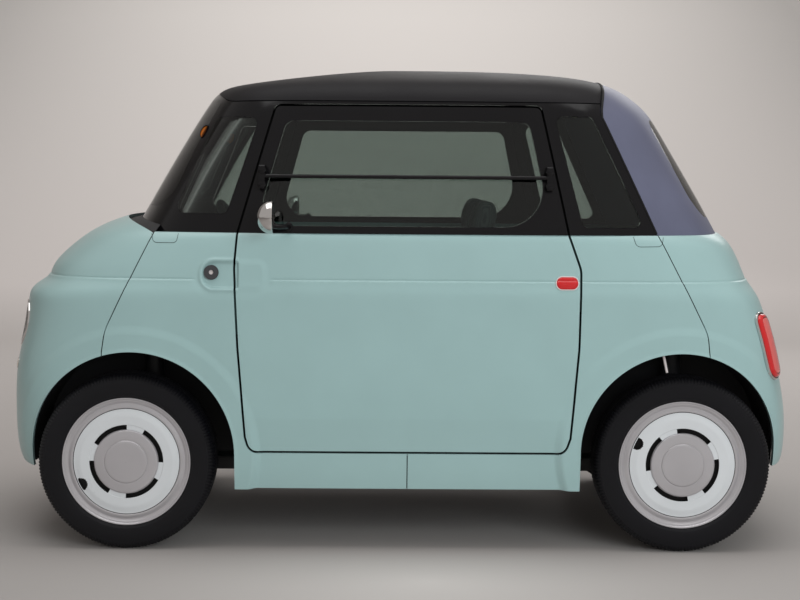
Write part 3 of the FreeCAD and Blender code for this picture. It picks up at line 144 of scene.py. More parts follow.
def finish_material(name, colour, rough, metallic=0.0, grain=900.0, depth=0.02, vary=0.06, rough_vary=0.08,
                    coat=0.0, coat_rough=0.1, patch=6.0, speck=None, **shader):
    """Surface finish: base colour with slow patches, fine grain in the bump, uneven roughness."""
    mat, tree, bsdf = node_tree(name)
    link = tree.links.new
    place = add(tree, "ShaderNodeTexCoord").outputs["Object"]
    slow = add(tree, "ShaderNodeTexNoise", {"Scale": patch, "Detail": 3.0, "Roughness": 0.55})
    fine = add(tree, "ShaderNodeTexNoise", {"Scale": grain, "Detail": 2.0, "Roughness": 0.6})
    for noise in (slow, fine):
        link(place, noise.inputs["Vector"])
    low = tuple(max(0.0, c * (1 - vary)) for c in colour)
    high = tuple(min(1.0, c * (1 + vary)) for c in colour)
    shade = ramp(tree, slow.outputs["Fac"], [(0.3, low), (0.7, high)])
    if speck:
        mix = add(tree, "ShaderNodeMix", data_type="RGBA")
        spot = ramp(tree, fine.outputs["Fac"], [(0.52, (0, 0, 0)), (0.66, (1, 1, 1))])
        link(spot, mix.inputs["Factor"])
        link(shade, mix.inputs["A"])
        mix.inputs["B"].default_value = (*speck, 1)
        shade = mix.outputs["Result"]
    link(shade, bsdf.inputs["Base Color"])
    spread = ramp(tree, slow.outputs["Fac"], [(0.25, (rough - rough_vary * 0.5,) * 3),
                                              (0.75, (rough + rough_vary * 0.5,) * 3)])
    link(spread, bsdf.inputs["Roughness"])
    bump = add(tree, "ShaderNodeBump", {"Strength": 0.35, "Distance": depth * MM})
    link(fine.outputs["Fac"], bump.inputs["Height"])
    link(bump.outputs["Normal"], bsdf.inputs["Normal"])
    bsdf.inputs["Metallic"].default_value = metallic
    bsdf.inputs["Coat Weight"].default_value = coat
    bsdf.inputs["Coat Roughness"].default_value = coat_rough
    for key, value in shader.items():
        bsdf.inputs[key.replace("_", " ")].default_value = value
    return mat


paint = finish_material("mint_paint", srgb(158, 188, 187), 0.38, grain=420, depth=0.03, vary=0.02, coat=0.25,
                        coat_rough=0.2)
roof_skin = finish_material("roof_satin", srgb(17, 15, 18), 0.55, grain=700, depth=0.05, vary=0.08,
                            Specular_IOR_Level=0.22)
canopy_skin = finish_material("canopy_satin", srgb(98, 100, 120), 0.46, grain=700, depth=0.05, vary=0.06,
                              Specular_IOR_Level=0.35)
frame_gloss = finish_material("frame_gloss", srgb(15, 14, 16), 0.16, grain=260, depth=0.02, vary=0.08,
                              Specular_IOR_Level=0.3)
moulding = finish_material("black_moulding", srgb(26, 26, 28), 0.62, grain=520, depth=0.2, vary=0.15)
steel = finish_material("coated_steel", srgb(32, 32, 34), 0.48, grain=300, depth=0.08, vary=0.15)
casting = finish_material("machined_casting", srgb(120, 121, 124), 0.42, metallic=0.85, grain=350, depth=0.15,
                          vary=0.15)
case = finish_material("battery_case", srgb(60, 62, 66), 0.5, grain=300, depth=0.1, vary=0.12)
rubber = finish_material("tyre_rubber", srgb(14, 14, 18), 0.62, grain=420, depth=0.12, vary=0.2,
                         Specular_IOR_Level=0.35)
cover_white = finish_material("cover_enamel", srgb(214, 216, 218), 0.3, grain=300, depth=0.02, vary=0.03,
                              coat=0.4)
cover_silver = finish_material("cover_silver", srgb(204, 201, 204), 0.3, metallic=0.65, grain=600, depth=0.02,
                               vary=0.04)
black_and_gap_shade = finish_material("black_and_gap_shade", srgb(12, 12, 13), 0.7, grain=300, depth=0.05, vary=0.1)
chrome = finish_material("chrome", srgb(222, 219, 217), 0.08, metallic=1.0, grain=200, depth=0.005, vary=0.02,
                         rough_vary=0.04)
brushed = finish_material("brushed_bowl", srgb(226, 222, 218), 0.28, metallic=0.55, grain=500, depth=0.02,
                          vary=0.05)
red_lens = finish_material("red_lens", srgb(205, 22, 26), 0.14, grain=180, depth=0.05, vary=0.06, coat=0.6,
                           coat_rough=0.03)
amber_lens = finish_material("amber_lens", srgb(214, 120, 44), 0.16, grain=180, depth=0.05, vary=0.06, coat=0.6,
                             coat_rough=0.03)
pale_lens = finish_material("pale_lens", srgb(236, 226, 206), 0.18, grain=180, depth=0.05, vary=0.04, coat=0.5,
                            coat_rough=0.03)
rim_white = finish_material("pale_trim", srgb(224, 214, 212), 0.4, grain=200, depth=0.02, vary=0.03)
dash_grain = finish_material("dash_grain", srgb(44, 44, 47), 0.6, grain=650, depth=0.25, vary=0.1)
screen_black = finish_material("display_glass", srgb(14, 15, 18), 0.08, grain=100, depth=0.005, vary=0.1,
                               coat=0.8, coat_rough=0.02)
tail_inner = finish_material("tail_inner_lens", srgb(232, 108, 104), 0.16, grain=180, depth=0.05, vary=0.08,
                             coat=0.6, coat_rough=0.03)
mirror_glass = finish_material("mirror_glass", srgb(205, 210, 212), 0.02, metallic=1.0, grain=120, depth=0.001,
                               vary=0.01, rough_vary=0.01)


def glass_material(name, tint, rough=0.0):
    """Tinted pane: transparent in its tint, with a clear mirror that grows towards the edge."""
    mat, tree, bsdf = node_tree(name)
    tree.nodes.remove(bsdf)
    link = tree.links.new
    through = add(tree, "ShaderNodeBsdfTransparent", {"Color": (*tint, 1)})
    gloss = add(tree, "ShaderNodeBsdfGlossy", {"Roughness": rough})
    edge = add(tree, "ShaderNodeFresnel", {"IOR": 1.5})
    mix = add(tree, "ShaderNodeMixShader")
    link(edge.outputs["Fac"], mix.inputs["Fac"])
    link(through.outputs["BSDF"], mix.inputs[1])
    link(gloss.outputs["BSDF"], mix.inputs[2])
    link(mix.outputs["Shader"], tree.nodes["Material Output"].inputs["Surface"])
    return mat


tinted = glass_material("tinted_glass", srgb(208, 215, 212))
clear = glass_material("lamp_glass", srgb(236, 238, 238))


def woven_fabric(name, warp, weft, pitch):
    """Plain weave: bands across the car and bands along it take turns in colour and height."""
    mat, tree, bsdf = node_tree(name)
    link = tree.links.new
    place = add(tree, "ShaderNodeTexCoord").outputs["Object"]
    split = add(tree, "ShaderNodeSeparateXYZ")
    link(place, split.inputs["Vector"])
    along = add(tree, "ShaderNodeMath", operation="ADD")
    link(split.outputs["X"], along.inputs[0])
    link(split.outputs["Z"], along.inputs[1])
    flat = add(tree, "ShaderNodeCombineXYZ")
    link(along.outputs["Value"], flat.inputs["X"])
    link(split.outputs["Y"], flat.inputs["Y"])
    scale = 2 * math.pi / (20 * pitch)
    waves = []
    for direction in ("X", "Y"):
        wave = add(tree, "ShaderNodeTexWave", {"Scale": scale, "Distortion": 0.6, "Detail": 1.0},
                   bands_direction=direction)
        link(flat.outputs["Vector"], wave.inputs["Vector"])
        waves.append(wave)
    cross = add(tree, "ShaderNodeMath", operation="MULTIPLY")
    link(waves[0].outputs["Fac"], cross.inputs[0])
    link(waves[1].outputs["Fac"], cross.inputs[1])
    cloudy = add(tree, "ShaderNodeTexNoise", {"Scale": 9.0, "Detail": 3.0})
    link(place, cloudy.inputs["Vector"])
    mixed = add(tree, "ShaderNodeMath", {1: 0.35}, operation="MULTIPLY_ADD")
    link(cloudy.outputs["Fac"], mixed.inputs[0])
    link(cross.outputs["Value"], mixed.inputs[2])
    link(ramp(tree, mixed.outputs["Value"], [(0.15, warp), (0.75, weft)]), bsdf.inputs["Base Color"])
    bump = add(tree, "ShaderNodeBump", {"Strength": 0.6, "Distance": 0.0006})
    link(cross.outputs["Value"], bump.inputs["Height"])
    link(bump.outputs["Normal"], bsdf.inputs["Normal"])
    bsdf.inputs["Roughness"].default_value = 0.88
    bsdf.inputs["Sheen Weight"].default_value = 0.25
    bsdf.inputs["Sheen Roughness"].default_value = 0.5
    return mat


seat_cloth = woven_fabric("seat_weave", srgb(70, 76, 78), srgb(118, 126, 126), 0.0028)
seat_side = woven_fabric("seat_side_weave", srgb(34, 36, 38), srgb(62, 66, 68), 0.0022)
trim_mint = finish_material("inner_trim", srgb(140, 176, 166), 0.55, grain=520, depth=0.15, vary=0.05)


# Meshes

def new_piece(name, verts, faces, mats, slots=None, smooth=True, angle=None):
    """Object at the origin from arrays of places and faces."""
    mesh = bpy.data.meshes.new(name)
    faces = faces if isinstance(faces, list) else np.asarray(faces).tolist()
    mesh.from_pydata(np.asarray(verts).tolist(), [], faces)
    for mat in (mats if isinstance(mats, (list, tuple)) else [mats]):
        mesh.materials.append(mat)
    if slots is not None:
        mesh.polygons.foreach_set("material_index", np.asarray(slots, dtype=np.int32))
    if smooth:
        mesh.shade_smooth()
        if angle:
            mesh.set_sharp_from_angle(angle=math.radians(angle))
    piece = bpy.data.objects.new(name, mesh)
    scene.collection.objects.link(piece)
    return piece


def stand_for(piece, node):
    """The piece takes the node's place and rides its body."""
    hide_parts(node)
    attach(piece, frame["nodes"][node]["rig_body"])
    return piece


def carried(piece, body):
    """The piece rides a body."""
    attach(piece, body)
    return piece


def weld(verts, faces, step=1e-5):
    """Join the places that agree to a hundredth of a millimetre."""
    keys = np.round(np.asarray(verts) / step).astype(np.int64)
    unique, first, back = np.unique(keys, axis=0, return_index=True, return_inverse=True)
    faces = back.reshape(-1)[faces]
    if faces.shape[1] == 3:
        whole = (faces[:, 0] != faces[:, 1]) & (faces[:, 1] != faces[:, 2]) & (faces[:, 2] != faces[:, 0])
        faces = faces[whole]
    return np.asarray(verts)[first], faces


def node_arrays(node):
    """Places and triangles of a node's mesh, its doubles joined."""
    mesh = frame["nodes"][node].data
    mesh.calc_loop_triangles()
    verts = np.empty(len(mesh.vertices) * 3)
    mesh.vertices.foreach_get("co", verts)
    tris = np.empty(len(mesh.loop_triangles) * 3, dtype=np.int32)
    mesh.loop_triangles.foreach_get("vertices", tris)
    return weld(verts.reshape(-1, 3), tris.reshape(-1, 3))


def dress(node, mats, angle=32, slots=None):
    """Same surface as the node, its doubles joined and its curved faces shaded smooth."""
    verts, tris = node_arrays(node)
    chosen = slots(verts[tris].mean(1)) if slots else None
    return stand_for(new_piece(node + "_dressed", verts, tris, mats, chosen, angle=angle), node)


def grid_faces(rows, cols, close_cols=False, close_rows=False):
    """Quads of a grid of places stored row by row, joined round where asked."""
    i = np.arange(rows if close_rows else rows - 1)[:, None]
    j = np.arange(cols if close_cols else cols - 1)[None, :]
    a = i * cols + j
    b = i * cols + (j + 1) % cols
    c = ((i + 1) % rows) * cols + (j + 1) % cols
    d = ((i + 1) % rows) * cols + j
    return np.stack([a, b, c, d], -1).reshape(-1, 4)


def fan_faces(first, count, middle):
    """Triangles from a ring of places, stored in a run, to its middle point."""
    i = np.arange(count)
    return np.stack([first + i, first + (i + 1) % count, np.full(count, middle)], 1)


def smooth_step(t):
    """Rise from nought to one with level ends."""
    t = np.clip(t, 0.0, 1.0)
    return t * t * (3 - 2 * t)


# Form of the painted body: levels of a closed hull

HALF_LENGTH, HALF_WIDTH, BELT = 1.2675, 0.698, 0.987
level_shares = np.array([
    # height, front reach, rear reach, width, front fullness, rear fullness
    (0.155, 0.905, 0.91, 0.945, 0.82, 0.84),
    (0.1925, 0.941, 0.944, 0.957, 0.82, 0.84),
    (0.228, 0.974, 0.979, 0.968, 0.83, 0.85),
    (0.266, 0.992, 0.996, 0.976, 0.84, 0.86),
    (0.335, 0.999, 1.0, 0.984, 0.85, 0.87),
    (0.425, 1.0, 0.999, 0.993, 0.85, 0.87),
    (0.527, 0.9995, 0.984, 0.999, 0.85, 0.87),
    (0.608, 0.99, 0.972, 1.0, 0.84, 0.86),
    (0.689, 0.972, 0.955, 1.0, 0.84, 0.86),
    (0.765, 0.966, 0.935, 1.0, 0.83, 0.85),
    (0.797, 0.966, 0.924, 1.0, 0.82, 0.85),
    (0.8205, 0.951, 0.912, 0.9985, 0.8, 0.84),
    (0.8415, 0.92, 0.899, 0.99, 0.78, 0.83),
    (0.862, 0.915, 0.891, 0.987, 0.76, 0.82),
    (0.891, 0.908, 0.884, 0.983, 0.74, 0.8),
    (0.932, 0.878, 0.871, 0.976, 0.71, 0.78),
    (0.972, 0.84, 0.855, 0.968, 0.69, 0.76),
    (1.0, 0.808, 0.83, 0.957, 0.67, 0.74),
    (1.028, 0.762, 0.8, 0.905, 0.66, 0.72),
    (1.0535, 0.702, 0.77, 0.78, 0.65, 0.7),
    (1.072, 0.605, 0.72, 0.6, 0.62, 0.66),
    (1.078, 0.46, 0.6, 0.42, 0.6, 0.62),
])
CORNER_SHARES = {-1: 0.955, 1: 0.935}


def level_weights(v, count):
    """Third-degree spline weights of the levels at shares v of the way up, clamped at both ends."""
    v = np.clip(v, 0, 1 - 1e-12)
    knots = np.concatenate([[0] * 3, np.linspace(0, 1, count - 2), [1] * 3])
    weights = [((v >= knots[i]) & (v < knots[i + 1])).astype(float) for i in range(len(knots) - 1)]
    for degree in range(1, 4):
        raised = []
        for i in range(len(knots) - 1 - degree):
            low, high = knots[i + degree] - knots[i], knots[i + degree + 1] - knots[i + 1]
            before = (v - knots[i]) / low * weights[i] if low > 0 else 0 * v
            after = (knots[i + degree + 1] - v) / high * weights[i + 1] if high > 0 else 0 * v
            raised.append(before + after)
        weights = raised
    return np.stack(weights, -1)


STEPS = np.linspace(0, 1, 900)
weights_up = level_weights(STEPS, len(level_shares))
level_z = weights_up @ (level_shares[:, 0] * BELT)
POLES = {}
for end in (-1, 1):
    reach = level_shares[:, 1 if end < 0 else 2] * HALF_LENGTH
    breadth = level_shares[:, 3] * HALF_WIDTH
    full = level_shares[:, 4 if end < 0 else 5]
    POLES[end] = [weights_up @ row for row in (reach, full * breadth, breadth, CORNER_SHARES[end] * reach,
                                               full * reach)]


def hull_point(u, v, end, side):
    """Place on the plain body: u runs a quarter round from the end to the flank, v up the levels.
    Round, five poles in fourth degree; their places follow the levels."""
    front = [np.interp(v, STEPS, row) for row in POLES[-1]]
    rear = [np.interp(v, STEPS, row) for row in POLES[1]]
    reach, shoulder, breadth, corner, run = [np.where(end < 0, a, b) for a, b in zip(front, rear)]
    s = 1 - u
    b0, b1, b2, b3, b4 = s ** 4, 4 * u * s ** 3, 6 * u * u * s * s, 4 * u ** 3 * s, u ** 4
    return np.stack([end * ((b0 + b1) * reach + b2 * corner + b3 * run),
                     side * (b1 * shoulder + (b2 + b3 + b4) * breadth),
                     np.interp(v, STEPS, level_z)], -1)


def outward(surface, u, v, end, side, step=5e-4):
    """Outward direction of a surface of u and v: cross product of two short steps along it."""
    u0, u1 = np.clip(u - step, 0, 1), np.clip(u + step, 0, 1)
    v0, v1 = np.clip(v - step, 0, 1), np.clip(v + step, 0, 1)
    along = surface(u1, v, end, side) - surface(u0, v, end, side)
    up = surface(u, v1, end, side) - surface(u, v0, end, side)
    normal = np.cross(along, up) * (end * side)[:, None]
    return normal / np.maximum(np.linalg.norm(normal, axis=1), 1e-12)[:, None]


def hull_shares(places):
    """Nearest u and v of each place: halving on the angle, then Gauss-Newton steps."""
    end = np.where(places[:, 0] < 0, -1.0, 1.0)
    side = np.where(places[:, 1] < 0, -1.0, 1.0)
    v = np.interp(places[:, 2], level_z, STEPS)
    low, high = np.zeros(len(v)), np.ones(len(v))
    for _ in range(24):
        u = (low + high) / 2
        p = hull_point(u, v, end, side)
        more = np.abs(p[:, 1] * places[:, 0]) < np.abs(p[:, 0] * places[:, 1])
        low, high = np.where(more, u, low), np.where(more, high, u)
    step = 4e-4
    for _ in range(5):
        gap = places - hull_point(u, v, end, side)
        du = (hull_point(u + step, v, end, side) - hull_point(u - step, v, end, side)) / (2 * step)
        dv = (hull_point(u, np.clip(v + step, 0, 1), end, side)
              - hull_point(u, np.clip(v - step, 0, 1), end, side)) / (2 * step)
        a, b, c = (du * du).sum(1), (du * dv).sum(1), (dv * dv).sum(1)
        d, e = (gap * du).sum(1), (gap * dv).sum(1)
        whole = np.maximum(a * c - b * b, 1e-12)
        u = np.clip(u + np.clip((c * d - b * e) / whole, -0.05, 0.05), 0, 1)
        v = np.clip(v + np.clip((a * e - b * d) / whole, -0.05, 0.05), 0, 1)
    return u, v, end, side


# Relief on the painted panels

ARCHES = ((-0.836, 0.302, 0.318), (0.858, 0.318, 0.308))
FLARE_WIDTH, FLARE_SOFT, FLARE_RISE = 0.084, 0.032, 0.0042
CREASE_Z, LOW_CREASE_Z = 0.846, 0.424
DOOR_TURN_X = 0.012
RECESS_X, RECESS_Z, RECESS_HALF_X, RECESS_HALF_Z = -0.525, 0.859, 0.102, 0.050


def recess_frame(x, side):
    """Distance along the door's own moulding: the right door is the left one turned round."""
    return np.where(side < 0, x, 2 * DOOR_TURN_X - x)


def rounded_box(x, z, half_x, half_z, radius):
    """Signed distance to a rounded rectangle, less than nought inside."""
    qx, qz = np.abs(x) - half_x + radius, np.abs(z) - half_z + radius
    return (np.hypot(np.maximum(qx, 0), np.maximum(qz, 0)) + np.minimum(np.maximum(qx, qz), 0) - radius)


def relief(places, side, square):
    """Rise over the plain hull in metres. Flares: a soft band round each arch. Crease: a fine
    groove with a swelling under it that dies away. Low crease: the door's foot tucks in. Recess: a
    raised lip round a shallow cup at the door's shut edge, gentle on the door itself."""
    x, z = places[:, 0], places[:, 2]
    rise = np.zeros(len(x))
    flared = np.zeros(len(x))
    for arch_x, arch_z, radius in ARCHES:
        r = np.hypot(x - arch_x, z - arch_z)
        band = smooth_step((radius + FLARE_WIDTH - r) / FLARE_SOFT)
        lip = smooth_step((radius + 0.010 - r) / 0.008)
        rise += (FLARE_RISE * band + 0.0015 * lip) * square
        flared = np.maximum(flared, band)
    along = recess_frame(x, side)
    box = rounded_box(along - RECESS_X, z - RECESS_Z, RECESS_HALF_X, RECESS_HALF_Z, 0.046)
    near_recess = smooth_step((0.030 - box) / 0.022) * square
    under = CREASE_Z - z
    swell = smooth_step(under / 0.006) * np.exp(-np.maximum(under, 0) / 0.055) * 0.0022
    groove = -0.0014 * np.exp(-(under / 0.0028) ** 2)
    rise += (swell + groove) * (1 - near_recess)
    between = smooth_step((x + 0.56) / 0.10) * smooth_step((0.60 - x) / 0.10)
    tuck = np.maximum(LOW_CREASE_Z - z, 0)
    tuck = np.where(tuck < 0.012, tuck * tuck / 0.024, tuck - 0.006)
    rise -= np.minimum(0.085 * tuck, 0.009) * between * (1 - flared) * square
    on_wing = smooth_step((-0.508 - along) / 0.008 + 0.5)
    lip = np.exp(-((box + 0.004) / 0.006) ** 2) * 0.0035
    cup = smooth_step((-0.006 - box) / 0.012) * 0.0055
    wing_form = lip - cup
    door_box = rounded_box(along + 0.515, z - RECESS_Z, 0.098, 0.049, 0.034)
    door_form = 0.0036 * smooth_step((0.006 - door_box) / 0.026)
    shaped = wing_form * on_wing + door_form * (1 - on_wing)
    return rise + shaped * square * (np.abs(along - RECESS_X) < 0.16) * (np.abs(z - RECESS_Z) < 0.1)


def rise_at(plain, u, v, end, side):
    """Relief as a move along the hull's outward direction; flares fade where the flank turns away."""
    normal = outward(hull_point, u, v, end, side)
    square = smooth_step((np.abs(normal[:, 1]) - 0.25) / 0.4)
    return normal * relief(plain, side, square)[:, None]


def raised(u, v, end, side):
    """Place of the finished surface: the plain hull, moved out by the relief."""
    plain = hull_point(u, v, end, side)
    return plain + rise_at(plain, u, v, end, side)


def split_long_edges(verts, tris, limit):
    """Halve every edge longer than its limit; each triangle takes the pattern of its halved edges."""
    pairs = np.sort(tris[:, [0, 1, 1, 2, 2, 0]].reshape(-1, 2), axis=1)
    unique, back = np.unique(pairs, axis=0, return_inverse=True)
    back = back.reshape(-1)
    a, b = verts[unique[:, 0]], verts[unique[:, 1]]
    middle = (a + b) / 2
    halved = np.linalg.norm(a - b, axis=1) > limit(middle)
    index = np.full(len(unique), -1)
    index[halved] = len(verts) + np.arange(halved.sum())
    mids = index[back].reshape(-1, 3)
    code = (mids >= 0) @ np.array([1, 2, 4])
    table = np.concatenate([tris, mids], 1)
    patterns = {0: [(0, 1, 2)], 1: [(0, 3, 2), (3, 1, 2)], 2: [(0, 1, 4), (0, 4, 2)],
                4: [(0, 1, 5), (5, 1, 2)], 3: [(3, 1, 4), (0, 3, 4), (0, 4, 2)],
                6: [(4, 2, 5), (0, 1, 4), (0, 4, 5)], 5: [(0, 3, 5), (3, 1, 2), (3, 2, 5)],
                7: [(0, 3, 5), (3, 1, 4), (5, 4, 2), (3, 4, 5)]}
    parts = [table[code == key][:, pick] for key, picks in patterns.items() for pick in picks]
    return np.concatenate([verts, middle[halved]]), np.concatenate(parts), halved.sum()


LONGEST_EDGE, SHORT_EDGE, SKIN_DEPTH = 0.030, 0.0040, 0.0016


def nearer(limit, finest, growth, distance):
    """Longest edge lowered to the finest one at a feature; it grows with the distance from there."""
    return np.minimum(limit, np.clip(finest + growth * np.maximum(distance, 0), finest, LONGEST_EDGE))


def fine_near_features(places):
    """Longest edge allowed: short near flare edges, creases and the hand recess."""
    x, z = places[:, 0], places[:, 2]
    limit = np.full(len(x), LONGEST_EDGE)
    for arch_x, arch_z, radius in ARCHES:
        r = np.hypot(x - arch_x, z - arch_z)
        edge = np.minimum(np.abs(r - radius - FLARE_WIDTH + FLARE_SOFT / 2) - FLARE_SOFT, np.abs(r - radius))
        limit = nearer(limit, 0.006, 0.5, edge)
    limit = nearer(limit, 0.0034, 0.8, np.abs(z - CREASE_Z))
    limit = nearer(limit, 0.008, 0.5, np.abs(z - LOW_CREASE_Z))
    for side in (-1, 1):
        box = rounded_box(recess_frame(x, side) - RECESS_X, z - RECESS_Z, RECESS_HALF_X, RECESS_HALF_Z, 0.046)
        limit = nearer(limit, SHORT_EDGE, 0.6, box - 0.010)
    return limit


def fine_on_skin(places):
    """The same limit on the outer skin; edges on a panel's walls and inner side stay whole."""
    u, v, end, side = hull_shares(places)
    inside = np.linalg.norm(places - hull_point(u, v, end, side), axis=1) > SKIN_DEPTH
    return np.where(inside, 1.0, fine_near_features(places))


def painted_panel(node, mat):
    """A panel's own outline with its outer skin laid on the body's form and the relief raised."""
    verts, tris = node_arrays(node)
    for _ in range(9):
        verts, tris, count = split_long_edges(verts, tris, fine_on_skin)
        if count < 40:
            break
    u, v, end, side = hull_shares(verts)
    plain = hull_point(u, v, end, side)
    skin = np.linalg.norm(verts - plain, axis=1) < 0.0011
    moved = np.where(skin[:, None], plain, verts) + rise_at(plain, u, v, end, side)
    piece = new_piece(node + "_dressed", moved, tris, mat, angle=32)
    on_skin = skin[tris].all(1)
    loops = np.zeros((len(tris), 3, 3))
    loops[on_skin] = outward(raised, u, v, end, side)[tris[on_skin]]
    piece.data.normals_split_custom_set(loops.reshape(-1, 3).tolist())
    stand_for(piece, node)


for node in ("front_panel", "rear_panel", "wing_front_left", "wing_front_right", "wing_rear_left",
             "wing_rear_right", "door_left", "door_right"):
    painted_panel(node, paint)


FINISH = {"roof_panel": roof_skin, "rear_canopy": canopy_skin, "pillar_frame": frame_gloss,
          "cowl_panel": moulding, "chassis_frame": steel, "floor_tub": moulding, "front_suspension": steel,
          "rear_axle": steel, "drive_motor": casting, "battery_block": case, "dashboard": dash_grain,
          "steering_wheel": dash_grain, "door_frame_left": frame_gloss, "knuckle_left": casting,
          "door_frame_right": frame_gloss, "knuckle_right": casting}
for node, mat in FINISH.items():
    dress(node, mat)


def pane(node, axis):
    """Curved pane with even shading: its outward directions come from a fourth-degree surface
    fitted to each sheet, measured along one axis over the two others."""
    verts, tris = node_arrays(node)
    others = [k for k in range(3) if k != axis]
    group = (verts[:, 0] > 0) * 2 + (verts[:, 1] > 0) if axis == 1 else np.zeros(len(verts), int)
    normal = np.zeros_like(verts)
    for value in np.unique(group):
        pick = group == value
        middle = verts[pick][:, others].mean(0)
        a, b = ((verts[pick][:, others] - middle) * 2).T
        powers = [(i, j) for i in range(5) for j in range(5 - i)]
        terms = np.stack([a ** i * b ** j for i, j in powers], 1)
        factors = np.linalg.lstsq(terms, verts[pick][:, axis], rcond=None)[0]
        slope_a = sum(f * i * a ** max(i - 1, 0) * b ** j for f, (i, j) in zip(factors, powers)) * 2
        slope_b = sum(f * j * a ** i * b ** max(j - 1, 0) for f, (i, j) in zip(factors, powers)) * 2
        way = np.zeros((pick.sum(), 3))
        way[:, axis], way[:, others[0]], way[:, others[1]] = 1, -slope_a, -slope_b
        normal[pick] = way / np.linalg.norm(way, axis=1)[:, None]
    flat = np.cross(verts[tris[:, 1]] - verts[tris[:, 0]], verts[tris[:, 2]] - verts[tris[:, 0]])
    flat /= np.maximum(np.linalg.norm(flat, axis=1), 1e-12)[:, None]
    loops = normal[tris]
    turn = (loops[:, 0] * flat).sum(1)
    loops = np.where(np.abs(turn)[:, None, None] > 0.8, loops * np.sign(turn)[:, None, None], 0)
    piece = new_piece(node + "_dressed", verts, tris, tinted, angle=32)
    piece.data.normals_split_custom_set(loops.reshape(-1, 3).tolist())
    stand_for(piece, node)


for node, axis in (("windscreen", 0), ("rear_window", 0), ("quarter_glass", 1), ("door_glass_left", 1),
                   ("door_glass_right", 1)):
    pane(node, axis)


# Wheels and tyres: sections turned about each axle

AXLES = {-1: -0.856, 1: 0.872}
AXLE_Z, TRACK_HALF = 0.275, 0.585
SHOULDER_SLOTS = 160


def turned_grid(radii, offsets, angles, end, way):
    """Places of a section carried round an axle: radius and outward offset may vary with the angle."""
    x = AXLES[end] + radii * np.cos(angles)[:, None]
    z = AXLE_Z + radii * np.sin(angles)[:, None]
    y = way * (TRACK_HALF + offsets) + np.zeros_like(x)
    return np.stack([x, y, z], -1)


def eased(points, steps=3):
    """Section through corner points with each corner rounded by a short curve.
    Each point is radius, offset and the length taken from both sides of its corner."""
    out = []
    for i, (r, o, cut) in enumerate(points):
        here = np.array([r, o])
        if i in (0, len(points) - 1) or cut == 0:
            out.append(here[None])
            continue
        before = np.array(points[i - 1][:2]) - here
        after = np.array(points[i + 1][:2]) - here
        start = here + before * min(0.49, cut / np.linalg.norm(before))
        stop = here + after * min(0.49, cut / np.linalg.norm(after))
        t = np.linspace(0, 1, steps)[:, None]
        out.append((1 - t) ** 2 * start + 2 * t * (1 - t) * here + t * t * stop)
    return np.concatenate(out)


def tyre(end_name, end, side, way):
    """Tyre: rounded section with rings on the wall, three grooves round the tread and short slots
    across each shoulder, cut where the angle falls inside a slot."""
    half = [(0.1784, 0.050, 0), (0.186, 0.0562, 0.002), (0.194, 0.0585, 0.003), (0.199, 0.0655, 0.004),
            (0.2065, 0.0728, 0.004), (0.2085, 0.0745, 0.001), (0.2125, 0.0752, 0.001), (0.2145, 0.0758, 0.001),
            (0.232, 0.0772, 0.008), (0.250, 0.0742, 0.008), (0.2525, 0.0730, 0.001), (0.2545, 0.0731, 0.001),
            (0.2625, 0.0700, 0.005), (0.2695, 0.0630, 0.006), (0.2738, 0.0520, 0.006)]
    outer = eased(half)
    tread = [(0.2742, 0.040), (0.2744, 0.0312), (0.2680, 0.0300), (0.2680, 0.0250), (0.2746, 0.0238),
             (0.2749, 0.0040), (0.2685, 0.0030)]
    outer = np.concatenate([outer, tread])
    hidden = outer[::-1] * [1, -1]
    section = np.concatenate([outer, hidden[:7], hidden[7::3]])
    count = 3 * SHOULDER_SLOTS
    angles = np.arange(count) * 2 * math.pi / count
    slot = (np.arange(count) % 3 < 1)[:, None]
    shoulder = (section[:, 0] > 0.2570) & (np.abs(section[:, 1]) > 0.034)
    deep = 0.0024 * slot * shoulder
    offsets = section[:, 1] - np.sign(section[:, 1]) * deep * 0.35
    places = turned_grid(section[:, 0] - deep, offsets, angles, end, way)
    faces = grid_faces(count, len(section), close_cols=True, close_rows=True)
    if way > 0:
        faces = faces[:, ::-1]
    node = "tyre_%s_%s" % (end_name, side)
    stand_for(new_piece(node + "_treaded", places.reshape(-1, 3), faces, rubber, angle=28), node)


SLOT_TURN = {-1: 29.5, 1: 70.0}
NOTCH_CENTRES = {-1: 207.5, 1: 155}


